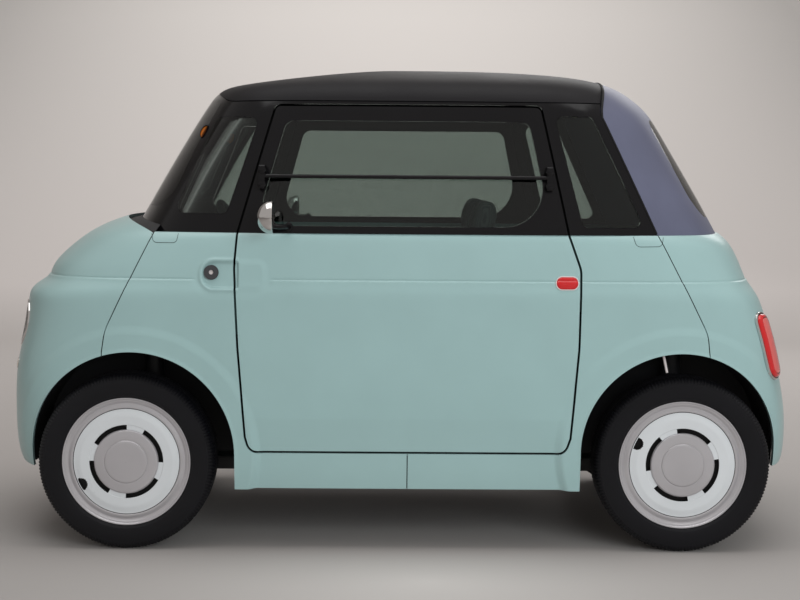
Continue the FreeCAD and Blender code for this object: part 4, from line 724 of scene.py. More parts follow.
def wheel_face(end_name, end, side, way):
    """Outer face of a wheel: silver lip, enamelled dish with a fine groove, four curved slots and a
    round notch for the valve, and a crowned cap with a raised boss. A polar grid whose cells inside
    the slots are left out and walled down to a dark back plate."""
    section = eased([
        (0.1745, 0.030, 0), (0.1900, 0.0600, 0.004), (0.1955, 0.0672, 0.0022), (0.1990, 0.0672, 0.0016),
        (0.1992, 0.0640, 0.0012), (0.1885, 0.0625, 0.001), (0.1815, 0.0560, 0.003), (0.1720, 0.0625, 0.0025),
        (0.1665, 0.0618, 0.001), (0.1655, 0.0600, 0.0008), (0.1642, 0.0602, 0.0008)])
    disc = np.linspace(0.1636, 0.1155, 26)
    dish = 0.0612 + 0.0042 * smooth_step((0.1636 - disc) / 0.024)
    radii = np.concatenate([section[:, 0], disc, [0.1144, 0.1138], np.linspace(0.112, 0.103, 4),
                            [0.1005, 0.100]])
    offsets = np.concatenate([section[:, 1], dish, [0.0645, 0.0641], [0.0641] * 4, [0.0641, 0.0641]])
    cap = eased([(0.0995, 0.0640, 0), (0.0985, 0.0690, 0.001), (0.0960, 0.0716, 0.0025),
                 (0.0700, 0.0735, 0.004), (0.0668, 0.0728, 0.001), (0.0650, 0.0760, 0.0012),
                 (0.0600, 0.0772, 0.003), (0.0300, 0.0779, 0.004), (0.0004, 0.0780, 0)])
    count = 360
    angles = np.arange(count) * 2 * math.pi / count
    rings = np.concatenate([np.stack([radii, offsets], 1), cap])
    places = turned_grid(rings[:, 0], rings[:, 1], angles, end, way)
    cols = len(rings)
    faces = grid_faces(count, cols, close_rows=True)
    cell_angle = np.degrees(np.repeat(angles + math.pi / count, cols - 1))
    cell_radius = np.tile((rings[1:, 0] + rings[:-1, 0]) / 2, count)
    seen = cell_angle if way < 0 else 180 - cell_angle
    hollow = np.zeros(len(faces), bool)
    apart = (seen - SLOT_TURN[end] + 45) % 90 - 45
    hollow |= (np.abs(apart) < 30.5) & (cell_radius > 0.1002) & (cell_radius < 0.1142)
    notch = math.radians(NOTCH_CENTRES[end])
    dx = cell_radius * np.cos(np.radians(seen)) - 0.157 * math.cos(notch)
    dz = cell_radius * np.sin(np.radians(seen)) - 0.157 * math.sin(notch)
    out = dx * math.cos(notch) + dz * math.sin(notch)
    across = -dx * math.sin(notch) + dz * math.cos(notch)
    hollow |= (out < 0.0045) & (cell_radius < 0.1645) & (np.hypot(np.minimum(out, 0), across) < 0.0195)
    kept = faces[~hollow]
    # Painted shade: the fine groove between the silver lip and the enamelled dish is coloured black.
    mats = np.select([(cell_radius < 0.1662) & (cell_radius > 0.1640), cell_radius > 0.1640,
                      cell_radius > 0.0998], [2, 1, 0], 1)[~hollow]
    directed, removed = (np.concatenate([quads[:, [k, (k + 1) % 4]] for k in range(4)])
                         for quads in (kept, faces[hollow]))
    key = directed[:, 0] * (count * cols) + directed[:, 1]
    opposite = removed[:, 1] * (count * cols) + removed[:, 0]
    rim_edges = directed[np.isin(key, opposite)]
    flat = places.reshape(-1, 3)
    used = np.unique(rim_edges)
    back = flat[used].copy()
    back[:, 1] -= way * 0.012
    index = np.full(len(flat), -1)
    index[used] = len(flat) + np.arange(len(used))
    walls = np.stack([rim_edges[:, 1], rim_edges[:, 0], index[rim_edges[:, 0]], index[rim_edges[:, 1]]], 1)
    plate = turned_grid(np.array([0.176, 0.090]), np.array([0.0495, 0.0495]), angles, end, way).reshape(-1, 3)
    plate_faces = grid_faces(count, 2, close_rows=True) + len(flat) + len(back)
    hub = turned_grid(np.array([0.1745, 0.1710, 0.1710]), np.array([0.030, 0.030, -0.050]), angles, end,
                      way).reshape(-1, 3)
    hub_faces = grid_faces(count, 3, close_rows=True)[:, ::-1] + len(flat) + len(back) + len(plate)
    node = "wheel_%s_%s" % (end_name, side)
    inner, inner_faces = node_arrays(node)
    behind = (np.abs(inner[inner_faces][:, :, 1]) < TRACK_HALF + 0.045).all(1)
    start = len(flat) + len(back) + len(plate) + len(hub)
    verts = np.concatenate([flat, back, plate, hub, inner])
    faces = np.concatenate([kept, walls, plate_faces, hub_faces])
    if way < 0:
        faces = faces[:, ::-1]
    slots = np.concatenate([mats, np.full(len(walls) + len(plate_faces) + len(hub_faces), 2),
                            np.full(behind.sum(), 3)])
    faces = faces.tolist() + (inner_faces[behind] + start).tolist()
    stand_for(new_piece(node + "_turned", verts, faces, [cover_white, cover_silver, black_and_gap_shade, steel], slots,
                        angle=30), node)


for end_name, end in ENDS:
    for side, way in SIDES:
        tyre(end_name, end, side, way)
        wheel_face(end_name, end, side, way)


# Pieces laid on the painted body

def on_body(across, z, end, side, seen):
    """Place and outward direction of the finished surface: u is halved until the plain body's x
    (seen 0, side view) or y (seen 1, view from an end) agrees."""
    v = np.interp(z, level_z, STEPS)
    low, high = np.zeros(len(z)), np.ones(len(z))
    for _ in range(34):
        u = (low + high) / 2
        reach = np.abs(hull_point(u, v, end, side)[:, seen])
        more = reach < np.abs(across) if seen else reach > np.abs(across)
        low, high = np.where(more, u, low), np.where(more, high, u)
    return raised(u, v, end, side), outward(raised, u, v, end, side)


def flank(side):
    """Side view of one flank, for laying pieces on it."""
    return lambda x, z: on_body(x, z, np.where(x < 0, -1.0, 1.0), np.full(len(x), float(side)), 0)


def from_end(end):
    """View of one end, for laying pieces on it."""
    return lambda y, z: on_body(y, z, np.full(len(y), float(end)), np.where(y < 0, -1.0, 1.0), 1)


nose, tail = from_end(-1), from_end(1)


def outline(half_a, half_b, corner, inset, per=10):
    """Rounded rectangle moved inwards by a distance, as points counted alike for every inset."""
    a, b = half_a - inset, half_b - inset
    r = min(max(corner - inset, 0.0006), a, b)
    points = []
    for k, (sa, sb) in enumerate(((1, 1), (-1, 1), (-1, -1), (1, -1))):
        angle = (k + np.linspace(0, 1, per)) * math.pi / 2
        points.append(np.stack([sa * (a - r) + r * np.cos(angle), sb * (b - r) + r * np.sin(angle)], 1))
    ring = np.concatenate(points)
    after = np.roll(ring, -1, axis=0)
    return np.stack([ring + (after - ring) * share for share in (0, 0.34, 0.67)], 1).reshape(-1, 2)


def path_shares(path, count):
    """Points evenly spaced along a run of straight pieces."""
    run = np.concatenate([[0], np.cumsum(np.linalg.norm(np.diff(path, axis=0), axis=1))])
    steps = np.linspace(0, run[-1], count or max(8, int(run[-1] / 0.004)))
    return np.stack([np.interp(steps, run, path[:, k]) for k in (0, 1)], 1)


def laid_piece(name, base, centre, shape, profile, mats, body, angle=40):
    """Closed-topped form that follows the body: rings of an outline moved inwards, each raised by
    its own height, then drawn in to the middle. Profile rows: inset, rise, material."""
    rings, slots = [], []
    for inset, rise, mat in profile:
        place, normal = base(*(outline(*shape, inset) + centre).T)
        rings.append(place + normal * rise)
        slots.append(mat)
    last_inset, last_rise, last_mat = profile[-1]
    for share in (0.75, 0.5, 0.25):
        place, normal = base(*(outline(*shape, last_inset) * share + centre).T)
        rings.append(place + normal * last_rise)
        slots.append(last_mat)
    place, normal = base(*np.array([centre], float).T)
    count = len(rings[0])
    verts = np.concatenate(rings + [place + normal * last_rise])
    faces = grid_faces(len(rings), count, close_cols=True)
    fan = fan_faces((len(rings) - 1) * count, count, len(verts) - 1)
    edge1, edge2 = verts[fan[:, 1]] - verts[fan[:, 0]], verts[fan[:, 2]] - verts[fan[:, 0]]
    if (np.cross(edge1, edge2).sum(0) @ normal[0]) < 0:
        faces, fan = faces[:, ::-1], fan[:, ::-1]
    chosen = np.concatenate([np.repeat(slots[1:], count), np.full(count, last_mat)])
    return carried(new_piece(name, verts, faces.tolist() + fan.tolist(), mats, chosen, angle=angle), body)


def ribbon(name, base, points, half, rise, mat, body):
    """Thin line laid on the body along a smooth path of points."""
    path = path_shares(np.array(points, float), None)
    way = np.gradient(path, axis=0)
    way /= np.linalg.norm(way, axis=1)[:, None]
    across = np.stack([-way[:, 1], way[:, 0]], 1)
    rings = []
    for shift, lift in ((half, -0.002), (half, rise), (-half, rise), (-half, -0.002)):
        place, normal = base(*(path + across * shift).T)
        rings.append(place + normal * lift)
    verts = np.stack(rings, 1)
    place, normal = base(*path.T)
    faces = grid_faces(len(path), 4)
    top = faces[1::3]
    first = verts.reshape(-1, 3)[top[0]]
    if np.cross(first[1] - first[0], first[2] - first[0]) @ normal[0] < 0:
        faces = faces[:, ::-1]
    return carried(new_piece(name, verts.reshape(-1, 3), faces, mat, angle=40), body)


def rounded_path(corners):
    """Points along straight runs whose corners are rounded: each corner is place, place, cut."""
    return eased(corners, 8)


for side, way in SIDES:
    turned = (lambda x: x) if way < 0 else (lambda x: 2 * DOOR_TURN_X - x)
    oval = laid_piece("reflector_%s_lens" % side, flank(way), (turned(0.501), 0.841), (0.036, 0.022, 0.0205),
                      [(0, -0.003, 0), (0, 0.0022, 0), (0.0008, 0.0032, 0), (0.0026, 0.0034, 0),
                       (0.0032, 0.0022, 0), (0.0036, 0.0030, 1), (0.0055, 0.0048, 1), (0.009, 0.0060, 1),
                       (0.014, 0.0066, 1)],
                      [rim_white, red_lens], "door_" + side)
    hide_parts("reflector_" + side)
    laid_piece("door_lock_%s_button" % side, flank(way), (turned(-0.590), 0.867), (0.0225, 0.0225, 0.0224),
               [(0, -0.002, 0), (0, 0.0056, 0), (0.0008, 0.0068, 0), (0.003, 0.0074, 0), (0.0105, 0.0070, 0),
                (0.0135, 0.0056, 0), (0.0140, 0.0030, 0), (0.0145, 0.0030, 1), (0.0152, 0.0042, 1),
                (0.0170, 0.0048, 1)],
               [black_and_gap_shade, rim_white], "body")
    # Painted shade: thin black lines laid on the panels draw the shut lines round the small flaps at the belt.
    for end_name, corners in (
            ("front", [(-0.780, 0.9825, 0), (-0.773, 0.955, 0.012), (-0.700, 0.955, 0.012), (-0.6955, 0.9835, 0)]),
            ("rear", [(0.7075, 0.9835, 0), (0.716, 0.953, 0.014), (0.796, 0.954, 0.012), (0.803, 0.982, 0)])):
        ribbon("%s_flap_shade_line_%s" % (end_name, side), flank(way), rounded_path(corners), 0.0007, 0.0004, black_and_gap_shade,
               "body")


# Black strips sunk in the gaps between end panels and wings, and one on the sill: painted shade that makes the
# shut lines read dark

for side, way in SIDES:
    for end_name, top, knee, foot in (("front", -0.773, -0.916, -0.926), ("rear", 0.787, 0.938, 0.945)):
        low = 0.640 if end_name == "rear" else 0.602
        ribbon("%s_seam_%s" % (end_name, side), flank(way), rounded_path(
            [(top, 0.985, 0), (knee, 0.688, 0.125), (foot, 0.620, 0), (foot, low, 0)]), 0.0024, -0.0012,
            black_and_gap_shade, "body")
    # Painted shade: a black strip sunk in the sill's joint.
    ribbon("sill_seam_" + side, flank(way), [(0.015, 0.302), (0.015, 0.197)], 0.0024, -0.0012, black_and_gap_shade, "body")


# Lamps

def ring_piece(name, centre, axis, section, mats, slots, body, count=96, angle=40):
    """Section of radius and height turned about an axis; a radius of nought closes to one point."""
    axis = np.array(axis, float) / np.linalg.norm(axis)
    helper = np.array([0, 0, 1.0]) if abs(axis[2]) < 0.8 else np.array([0, 1.0, 0])
    first = np.cross(helper, axis)
    first /= np.linalg.norm(first)
    second = np.cross(axis, first)
    section = np.array(section, float)
    closed_end = section[-1, 0] < 1e-6
    rings = section[:-1] if closed_end else section
    turn = np.arange(count) * 2 * math.pi / count
    circle = np.cos(turn)[:, None] * first + np.sin(turn)[:, None] * second
    verts = centre + rings[:, None, 0, None] * circle[None] + rings[:, None, 1, None] * axis
    verts = verts.reshape(-1, 3)
    faces = grid_faces(len(rings), count, close_cols=True).tolist()
    chosen = np.repeat(np.asarray(slots)[:len(rings) - 1], count).tolist()
    if closed_end:
        verts = np.concatenate([verts, [centre + section[-1, 1] * axis]])
        faces += fan_faces((len(rings) - 1) * count, count, len(verts) - 1).tolist()
        chosen += [slots[-1]] * count
    return carried(new_piece(name, verts, faces, mats, chosen, angle=angle), body)


for side, way in SIDES:
    middle = (way * 0.432, 0.690)
    bezel = laid_piece("headlamp_%s_bezel" % side, nose, middle, (0.0735, 0.0735, 0.0734),
                       [(0, -0.020, 0), (0, 0.0022, 0), (0.0010, 0.0040, 0), (0.004, 0.0048, 0),
                        (0.0085, 0.0042, 0),
                        (0.0100, 0.0020, 0), (0.0102, -0.010, 1), (0.022, -0.022, 1), (0.040, -0.028, 1),
                        (0.046, -0.0285, 2), (0.050, -0.020, 2), (0.056, -0.014, 2), (0.064, -0.012, 2)],
                       [chrome, brushed, pale_lens], "body")
    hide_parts("headlamps")
    laid_piece("headlamp_%s_glass" % side, nose, middle, (0.0635, 0.0635, 0.0634),
               [(0, -0.003, 0), (0.0004, 0.0016, 0), (0.004, 0.0028, 0), (0.012, 0.0042, 0), (0.025, 0.0052, 0),
                (0.040, 0.0056, 0)], [clear], "body")
    laid_piece("front_signal_" + side, nose, (way * 0.432, 0.560), (0.046, 0.017, 0.0169),
               [(0, -0.004, 0), (0, 0.0014, 0), (0.0012, 0.0024, 0), (0.003, 0.0022, 0), (0.0036, 0.0014, 1),
                (0.006, 0.0030, 1), (0.010, 0.0038, 1)], [chrome, pale_lens], "body")
    stack = (way * 0.545, 0.639)
    tall = laid_piece("tail_lamp_%s_lens" % side, tail, stack, (0.0437, 0.1067, 0.0376),
                      [(0, -0.006, 0), (0, 0.0050, 0), (0.0012, 0.0068, 0), (0.0036, 0.0074, 0),
                       (0.0044, 0.0056, 1), (0.0070, 0.0056, 1), (0.0076, 0.0080, 2),
                        (0.0095, 0.0120, 2), (0.013, 0.0148, 2),
                       (0.0180, 0.0160, 2), (0.0186, 0.0146, 1), (0.0204, 0.0144, 1), (0.0210, 0.0162, 3),
                       (0.026, 0.0172, 3), (0.031, 0.0176, 3)],
                      [chrome, frame_gloss, red_lens, tail_inner], "body")
    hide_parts("tail_lamps")

laid_piece("nose_intake", nose, (0.0, 0.288), (0.300, 0.026, 0.0255),
           [(0, -0.004, 0), (0, 0.0016, 0), (0.0012, 0.0026, 0), (0.004, 0.0027, 0), (0.0054, 0.0020, 0),
            (0.0070, 0.0011, 1), (0.014, 0.0009, 1), (0.023, 0.0009, 1)], [moulding, black_and_gap_shade], "body")
laid_piece("nose_band", nose, (0.0, 0.690), (0.318, 0.020, 0.0198),
           [(0, -0.003, 0), (0, 0.0010, 0), (0.0012, 0.0022, 0), (0.006, 0.0026, 0), (0.012, 0.0027, 0)],
           [rim_white], "body")


TREES = {}


def on_node(node, place):
    """Nearest point of a node's surface and its outward direction there."""
    if node not in TREES:
        verts, tris = node_arrays(node)
        TREES[node] = BVHTree.FromPolygons(verts.tolist(), tris.tolist())
    near, normal, _, _ = TREES[node].find_nearest(Vector(place))
    return np.array(near), np.array(normal)


def dome(name, centre, axis, along, half_a, half_b, high, mats, body):
    """Small oval lamp: a black foot and a domed lens, its long way set by one direction."""
    axis = np.array(axis) / np.linalg.norm(axis)
    first = np.array(along, float) - axis * (np.array(along, float) @ axis)
    first /= np.linalg.norm(first)
    second = np.cross(axis, first)
    count = 48
    turn = np.arange(count) * 2 * math.pi / count
    rows = [(1.12, -0.003, 0), (1.12, 0.0015, 0), (1.06, 0.0028, 0), (1.0, 0.0028, 0)]
    rows += [(math.cos(t), 0.0028 + high * math.sin(t), 1) for t in np.linspace(0.05, 1.45, 8)]
    verts = [centre + s * (half_a * np.cos(turn)[:, None] * first + half_b * np.sin(turn)[:, None] * second)
             + h * axis for s, h, _ in rows]
    verts = np.concatenate(verts + [[centre + (0.0028 + high) * axis]])
    faces = grid_faces(len(rows), count, close_cols=True).tolist()
    faces += fan_faces((len(rows) - 1) * count, count, len(verts) - 1).tolist()
    chosen = np.repeat([row[2] for row in rows[1:]], count).tolist() + [1] * count
    return carried(new_piece(name, verts, faces, mats, chosen, angle=45), body)


for side, way in SIDES:
    near, normal = on_node("pillar_frame", (-0.649, way * 0.450, 1.306))
    dome("side_lamp_" + side, near, normal, (0.45, 0, 1), 0.020, 0.011, 0.007, [frame_gloss, amber_lens], "body")
    near, normal = on_node("rear_canopy", (0.640, way * 0.47, 1.400))
    dome("roof_lamp_" + side, near, normal, (1, 0, 0), 0.017, 0.009, 0.005, [canopy_skin, pale_lens], "body")


# Mirrors: a turned shell with a lip and glass, on a curved arm

def tube(name, path, radii, mat, body, count=20):
    """Round bar along points, its ends closed; the frame is carried along without twist."""
    path = np.array(path, float)
    way = np.gradient(path, axis=0)
    way /= np.linalg.norm(way, axis=1)[:, None]
    first = np.cross(way[0], [0.3, 0.2, 1.0])
    rings = []
    turn = np.arange(count) * 2 * math.pi / count
    for here, ahead, radius in zip(path, way, radii):
        first = first - ahead * (first @ ahead)
        first /= np.linalg.norm(first)
        rings.append(here + radius * (np.cos(turn)[:, None] * first
                                      + np.sin(turn)[:, None] * np.cross(ahead, first)))
    verts = np.concatenate(rings + [[path[0]], [path[-1]]])
    faces = grid_faces(len(path), count, close_cols=True).tolist()
    i, last = np.arange(count), (len(path) - 1) * count
    faces += np.stack([(i + 1) % count, i, np.full(count, len(verts) - 2)], 1).tolist()
    faces += np.stack([last + i, last + (i + 1) % count, np.full(count, len(verts) - 1)], 1).tolist()
    faces = [face[::-1] for face in faces]
    return carried(new_piece(name, verts, faces, mat, angle=50), body)


def curve_points(controls, count):
    """Smooth path through four control points, third degree."""
    a, b, c, d = np.array(controls, float)
    t = np.linspace(0, 1, count)[:, None]
    return (1 - t) ** 3 * a + 3 * t * (1 - t) ** 2 * b + 3 * t * t * (1 - t) * c + t ** 3 * d


for side, way in SIDES:
    middle = np.array([-0.3955, way * 0.762, 1.039])
    turn = np.linspace(0, math.pi / 2, 16)
    section = [(0.0, -0.0030), (0.030, -0.0030), (0.0455, -0.0030), (0.0462, -0.0010), (0.0480, -0.0002),
               (0.0497, -0.0010), (0.0507, -0.0032)]
    section += [(0.0509 * math.cos(t), -0.0045 - 0.0462 * math.sin(t)) for t in turn]
    section = np.array(section)[::-1]
    section[0, 0] = 0.0004
    mats = [0] * (len(section) - 4) + [1, 2, 2, 2]
    head = ring_piece("mirror_%s_head" % side, middle, (1, 0, 0), section, [chrome, frame_gloss, mirror_glass],
                      mats, "door_" + side, angle=50)
    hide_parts("mirror_" + side)
    foot, normal = on_node("door_frame_" + side, (-0.354, way * 0.66, 1.006))
    arm = curve_points([foot - normal * 0.004, foot + normal * 0.040, middle + (-0.016, -way * 0.050, -0.036),
                        middle + (-0.020, -way * 0.030, -0.020)], 24)
    tube("mirror_%s_arm" % side, arm, np.linspace(0.0085, 0.0065, 24), frame_gloss, "door_" + side)
    dome("mirror_%s_foot" % side, foot, normal, (0, 0, 1), 0.014, 0.011, 0.003, [frame_gloss, frame_gloss],
         "door_" + side)


# Rubber seals behind the door's upper outline and along the canopy's edge

def skin_point(node, x, y, z):
    """Point of a node's outer skin above a place of the side view, found by two nearest steps."""
    for _ in range(3):
        near, normal = on_node(node, (x, y, z))
        y = near[1]
    return np.array([x, y, z]), normal


def door_seal(side, way):
    """Flat strip that closes the view through the gap between door and pillars from inside."""
    path = rounded_path([(-0.5195, 0.995, 0), (-0.4055, 1.3895, 0.03), (0.4285, 1.3895, 0.03), (0.5145, 0.995, 0)])
    path = path_shares(path, 120)
    centre = []
    for x, z in path:
        place, normal = skin_point("pillar_frame", x, way * (0.72 - 0.35 * (z - 0.98)), z)
        centre.append(place - normal * 0.001)
    centre = np.array(centre)
    lean = 0.22 + 0.9 * (centre[:, 2] - 0.99)
    normal = np.stack([0 * lean, way + 0 * lean, lean], 1) / np.hypot(1, lean)[:, None]
    ahead = np.gradient(centre, axis=0)
    ahead /= np.linalg.norm(ahead, axis=1)[:, None]
    across = np.cross(ahead, normal)
    half = (0.006 + 0.009 * smooth_step((1.385 - centre[:, 2]) / 0.03))[:, None]
    verts = np.stack([centre + across * a * half - normal * b
                      for a, b in ((1, 0.0285), (1, 0.0315), (-1, 0.0315), (-1, 0.0285))], 1)
    faces = grid_faces(len(path), 4, close_cols=True).tolist()
    last = (len(path) - 1) * 4
    faces += [[3, 2, 1, 0], [last, last + 1, last + 2, last + 3]]
    if way > 0:
        faces = [face[::-1] for face in faces]
    carried(new_piece("door_seal_" + side, verts.reshape(-1, 3), faces, black_and_gap_shade, smooth=False), "body")


def canopy_seal():
    """Black bead along the canopy's front edge, from belt to belt over the roof."""
    points = []
    for z in np.linspace(0.992, 1.362, 40):
        x = 0.785 + (0.609 - 0.785) * (z - 0.987) / (1.369 - 0.987)
        points.append(skin_point("rear_canopy", x, -0.75, z)[0])
    edge = points[-1][1]
    over = []
    for y in np.linspace(edge * 0.985, 0, 24)[1:]:
        z = 1.45
        for _ in range(4):
            x = 0.609 + (z - 1.369) / 0.151 * 0.043
            near, _ = on_node("rear_canopy", (x + 0.004, y, z + 0.05))
            z = near[2]
        over.append(np.array([x, y, z]))
    half = points + over
    path = np.array(half + [row * [1, -1, 1] for row in half[-2::-1]])
    smooth = path.copy()
    smooth[1:-1] = (path[:-2] + 2 * path[1:-1] + path[2:]) / 4
    tube("canopy_seal", smooth, np.full(len(path), 0.0036), black_and_gap_shade, "body", count=10)


for side, way in SIDES:
    door_seal(side, way)
canopy_seal()


# Knobs on the window bar's brackets

bar_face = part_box("door_frame_left")[0][1]
for end_name, x in (("front", -0.437), ("rear", 0.446)):
    for z in (1.137, 1.181):
        ring_piece("bracket_knob_%s_%d" % (end_name, round(z * 1000)), np.array([x, bar_face + 0.004, z]),
                   (0, -1, 0), [(0.0125, -0.010), (0.0125, 0.0), (0.0118, 0.0022), (0.008, 0.0036), (0.0, 0.0038)],
                   [frame_gloss], [0] * 5, "door_left", count=40)


# White marker behind the rear wheel

for side, way in SIDES:
    path = curve_points([(x, way * 0.640, z) for x, z in ((0.806, 0.622), (0.812, 0.604), (0.815, 0.585),
                                                          (0.820, 0.563))], 12)
    tube("arch_marker_" + side, path, np.full(12, 0.0042), rim_white, "body", count=12)


# Front wiper on the windscreen

def wiper():
    """Arm and blade that lie on the windscreen along its foot."""
    blade, arm = [], []
    for t in np.linspace(0, 1, 24):
        near, normal = on_node("windscreen", (-0.72 + 0.03 * t, -0.30 + 0.52 * t,
                                              1.105 + 0.012 * math.sin(3.1 * t)))
        blade.append(near + normal * 0.006)
    for t in np.linspace(0, 1, 20):
        near, normal = on_node("windscreen", (-0.73, -0.03 + 0.04 * t, 1.075 + 0.036 * t))
        arm.append(near + normal * (0.018 - 0.006 * t))
    tube("wiper_blade", blade, np.full(24, 0.0052), moulding, "body", count=10)
    tube("wiper_arm", arm, np.linspace(0.008, 0.0055, 20), frame_gloss, "body", count=12)


wiper()


# Seats: pads blown up by cloth from the seat's closed forms

SEAT_Y, PAD_VOXEL, CLOTH_FRAMES = 0.305, 0.010, 20


def loose_parts(verts, tris):
    """Separate closed forms of a mesh: each vertex takes the lowest number it is joined to."""
    label = np.arange(len(verts))
    while True:
        low = label[tris].min(1)
        new = label.copy()
        np.minimum.at(new, tris.reshape(-1), np.repeat(low, 3))
        new = new[new]
        if (new == label).all():
            break
        label = new
    out = []
    for value in np.unique(label[tris[:, 0]]):
        faces = tris[label[tris[:, 0]] == value]
        used, back = np.unique(faces, return_inverse=True)
        out.append((verts[used], back.reshape(-1, 3)))
    return out


def mesh_arrays(mesh):
    """Places of a mesh as an array and its faces as lists."""
    verts = np.empty(len(mesh.vertices) * 3)
    mesh.vertices.foreach_get("co", verts)
    return verts.reshape(-1, 3), [list(face.vertices) for face in mesh.polygons]


def settled(piece):
    """Piece's mesh with its modifiers applied."""
    graph = bpy.context.evaluated_depsgraph_get()
    mesh = bpy.data.meshes.new_from_object(piece.evaluated_get(graph))
    piece.modifiers.clear()
    piece.data = mesh
    return mesh


def swollen(name, verts, tris, shrink, cap, pressure=4.0):
    """Pad from a closed form drawn in by a margin: remeshed evenly, blown up by cloth with no
    gravity, each point held to the cap, then halved once."""
    middle = (verts.max(0) + verts.min(0)) / 2
    half = (verts.max(0) - verts.min(0)) / 2
    start = middle + (verts - middle) * (1 - np.array(shrink) / half)
    piece = new_piece(name, start, tris, seat_cloth)
    remesh = piece.modifiers.new("even", "REMESH")
    remesh.mode = "VOXEL"
    remesh.voxel_size = PAD_VOXEL
    mesh = settled(piece)
    before, faces = mesh_arrays(mesh)
    after = before
    cloth = piece.modifiers.new("cloth", "CLOTH")
    cloth.settings.use_pressure = True
    cloth.settings.uniform_pressure_force = pressure
    cloth.settings.effector_weights.gravity = 0
    cloth.settings.quality = 4
    for frame_number in range(1, CLOTH_FRAMES + 1):
        scene.frame_set(frame_number)
    graph = bpy.context.evaluated_depsgraph_get()
    after, _ = mesh_arrays(piece.evaluated_get(graph).to_mesh())
    scene.frame_set(1)
    move = after - before
    far = np.linalg.norm(move, axis=1)
    move *= np.minimum(1, cap / np.maximum(far, 1e-9))[:, None]
    piece.modifiers.clear()
    mesh.vertices.foreach_set("co", (before + move).reshape(-1))
    finer = piece.modifiers.new("finer", "SUBSURF")
    finer.levels = finer.render_levels = 1
    verts, faces = mesh_arrays(settled(piece))
    bpy.data.objects.remove(piece)
    return verts, faces


def vertex_normals(verts, faces):
    """Outward direction at each point: its quads' normals added up."""
    quads = np.array(faces)
    normal = np.cross(verts[quads[:, 2]] - verts[quads[:, 0]], verts[quads[:, 3]] - verts[quads[:, 1]])
    total = np.zeros_like(verts)
    for k in range(4):
        np.add.at(total, quads[:, k], normal)
    return total / np.maximum(np.linalg.norm(total, axis=1), 1e-12)[:, None]


def sewn(verts, faces, lines):
    """Sewn channels: points near a line sink by a narrow bell of the distance to it."""
    normal = vertex_normals(verts, faces)
    sink = np.zeros(len(verts))
    for value, width, deep in lines(verts, normal):
        sink = np.maximum(sink, deep * np.exp(-(value / width) ** 2))
    return verts - normal * sink[:, None]


def cushion_lines(verts, normal):
    """Two channels along the cushion, one across its front and a seam round its side."""
    across = verts[:, 1] + SEAT_Y
    top = np.clip(normal[:, 2], 0, 1)
    return [(np.abs(across) - 0.145, 0.006, 0.010 * top), (verts[:, 0] + 0.235, 0.006, 0.008 * top),
            (verts[:, 2] - 0.372, 0.004, 0.004 * (1 - top))]


def back_lines(verts, normal):
    """Two channels up the back's front face and two across it."""
    across = verts[:, 1] + SEAT_Y
    front = np.clip(-normal[:, 0], 0, 1)
    return [(np.abs(across) - 0.140, 0.006, 0.010 * front), (verts[:, 2] - 0.80, 0.006, 0.008 * front),
            (verts[:, 2] - 0.56, 0.006, 0.006 * front)]


def no_lines(verts, normal):
    """A head rest is plain."""
    return []


PADS = {"cushion": ((0.016, 0.020, 0.012), 0.026, cushion_lines, 0.86),
        "back": ((0.014, 0.020, 0.014), 0.024, back_lines, 0.82),
        "head_rest": ((0.012, 0.014, 0.012), 0.014, no_lines, 0.9)}


def seats():
    """Both seats: cushion, back and head rest pads, a moulded base and two head rest posts."""
    verts, tris = node_arrays("seat_left")
    for part_verts, part_tris in loose_parts(verts, tris):
        low, high = part_verts.min(0)[2], part_verts.max(0)[2]
        kind = "head_rest" if low > 0.9 else "back" if high > 0.9 else "cushion" if high > 0.4 else "base"
        if kind == "base":
            shapes = (part_verts, part_tris.tolist())
        else:
            shrink, cap, lines, fill = PADS[kind]
            shapes = swollen("seat_pad_" + kind, part_verts, part_tris, shrink, cap)
            shapes = (sewn(*shapes, lines), shapes[1])
        for side, way in SIDES:
            moved = shapes[0] + np.array([0, 0 if way < 0 else 2 * SEAT_Y, 0])
            if kind == "base":
                piece = new_piece("seat_%s_base" % side, moved, shapes[1], moulding, angle=30)
            else:
                centre = moved[np.array(shapes[1])].mean(1)
                across = np.abs(centre[:, 1] - way * SEAT_Y)
                mats = (across > 0.145).astype(int) if kind != "head_rest" else np.zeros(len(centre), int)
                piece = new_piece("seat_%s_%s" % (side, kind), moved, shapes[1], [seat_cloth, seat_side], mats)
            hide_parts("seat_" + side)
            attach(piece, "body")
    for side, way in SIDES:
        for k in (-1, 1):
            y = way * SEAT_Y + k * 0.062
            tube("seat_%s_post_%s" % (side, "inner" if k * way < 0 else "outer"),
                 curve_points([(0.225, y, 0.930), (0.228, y, 0.960), (0.236, y, 0.985), (0.246, y, 1.012)], 8),
                 np.full(8, 0.0055), chrome, "body", count=14)


seats()


# Inside: display, vents, pedals, door trims and arm rests

def block_piece(name, middle, half, round_by, mats, body, tilt=0.0):
    """Box with rounded edges, turned about the crosswise axis: a ball's points pushed outwards."""
    count = 24
    t, p = np.meshgrid(np.linspace(0, math.pi, count), np.arange(2 * count) * math.pi / count, indexing="ij")
    ball = np.stack([np.sin(t) * np.cos(p), np.sin(t) * np.sin(p), np.cos(t)], -1)
    ball = np.sign(ball) * np.abs(ball) ** 0.9
    half, core = np.array(half), np.array(half) - round_by
    places = np.sign(np.round(ball, 9)) * core + ball / np.linalg.norm(ball, axis=-1, keepdims=True) * round_by
    turn = np.array([[math.cos(tilt), 0, math.sin(tilt)], [0, 1, 0], [-math.sin(tilt), 0, math.cos(tilt)]])
    places = places.reshape(-1, 3) @ turn.T + np.array(middle)
    return carried(new_piece(name, places, grid_faces(count, 2 * count, close_cols=True), mats, angle=40), body)


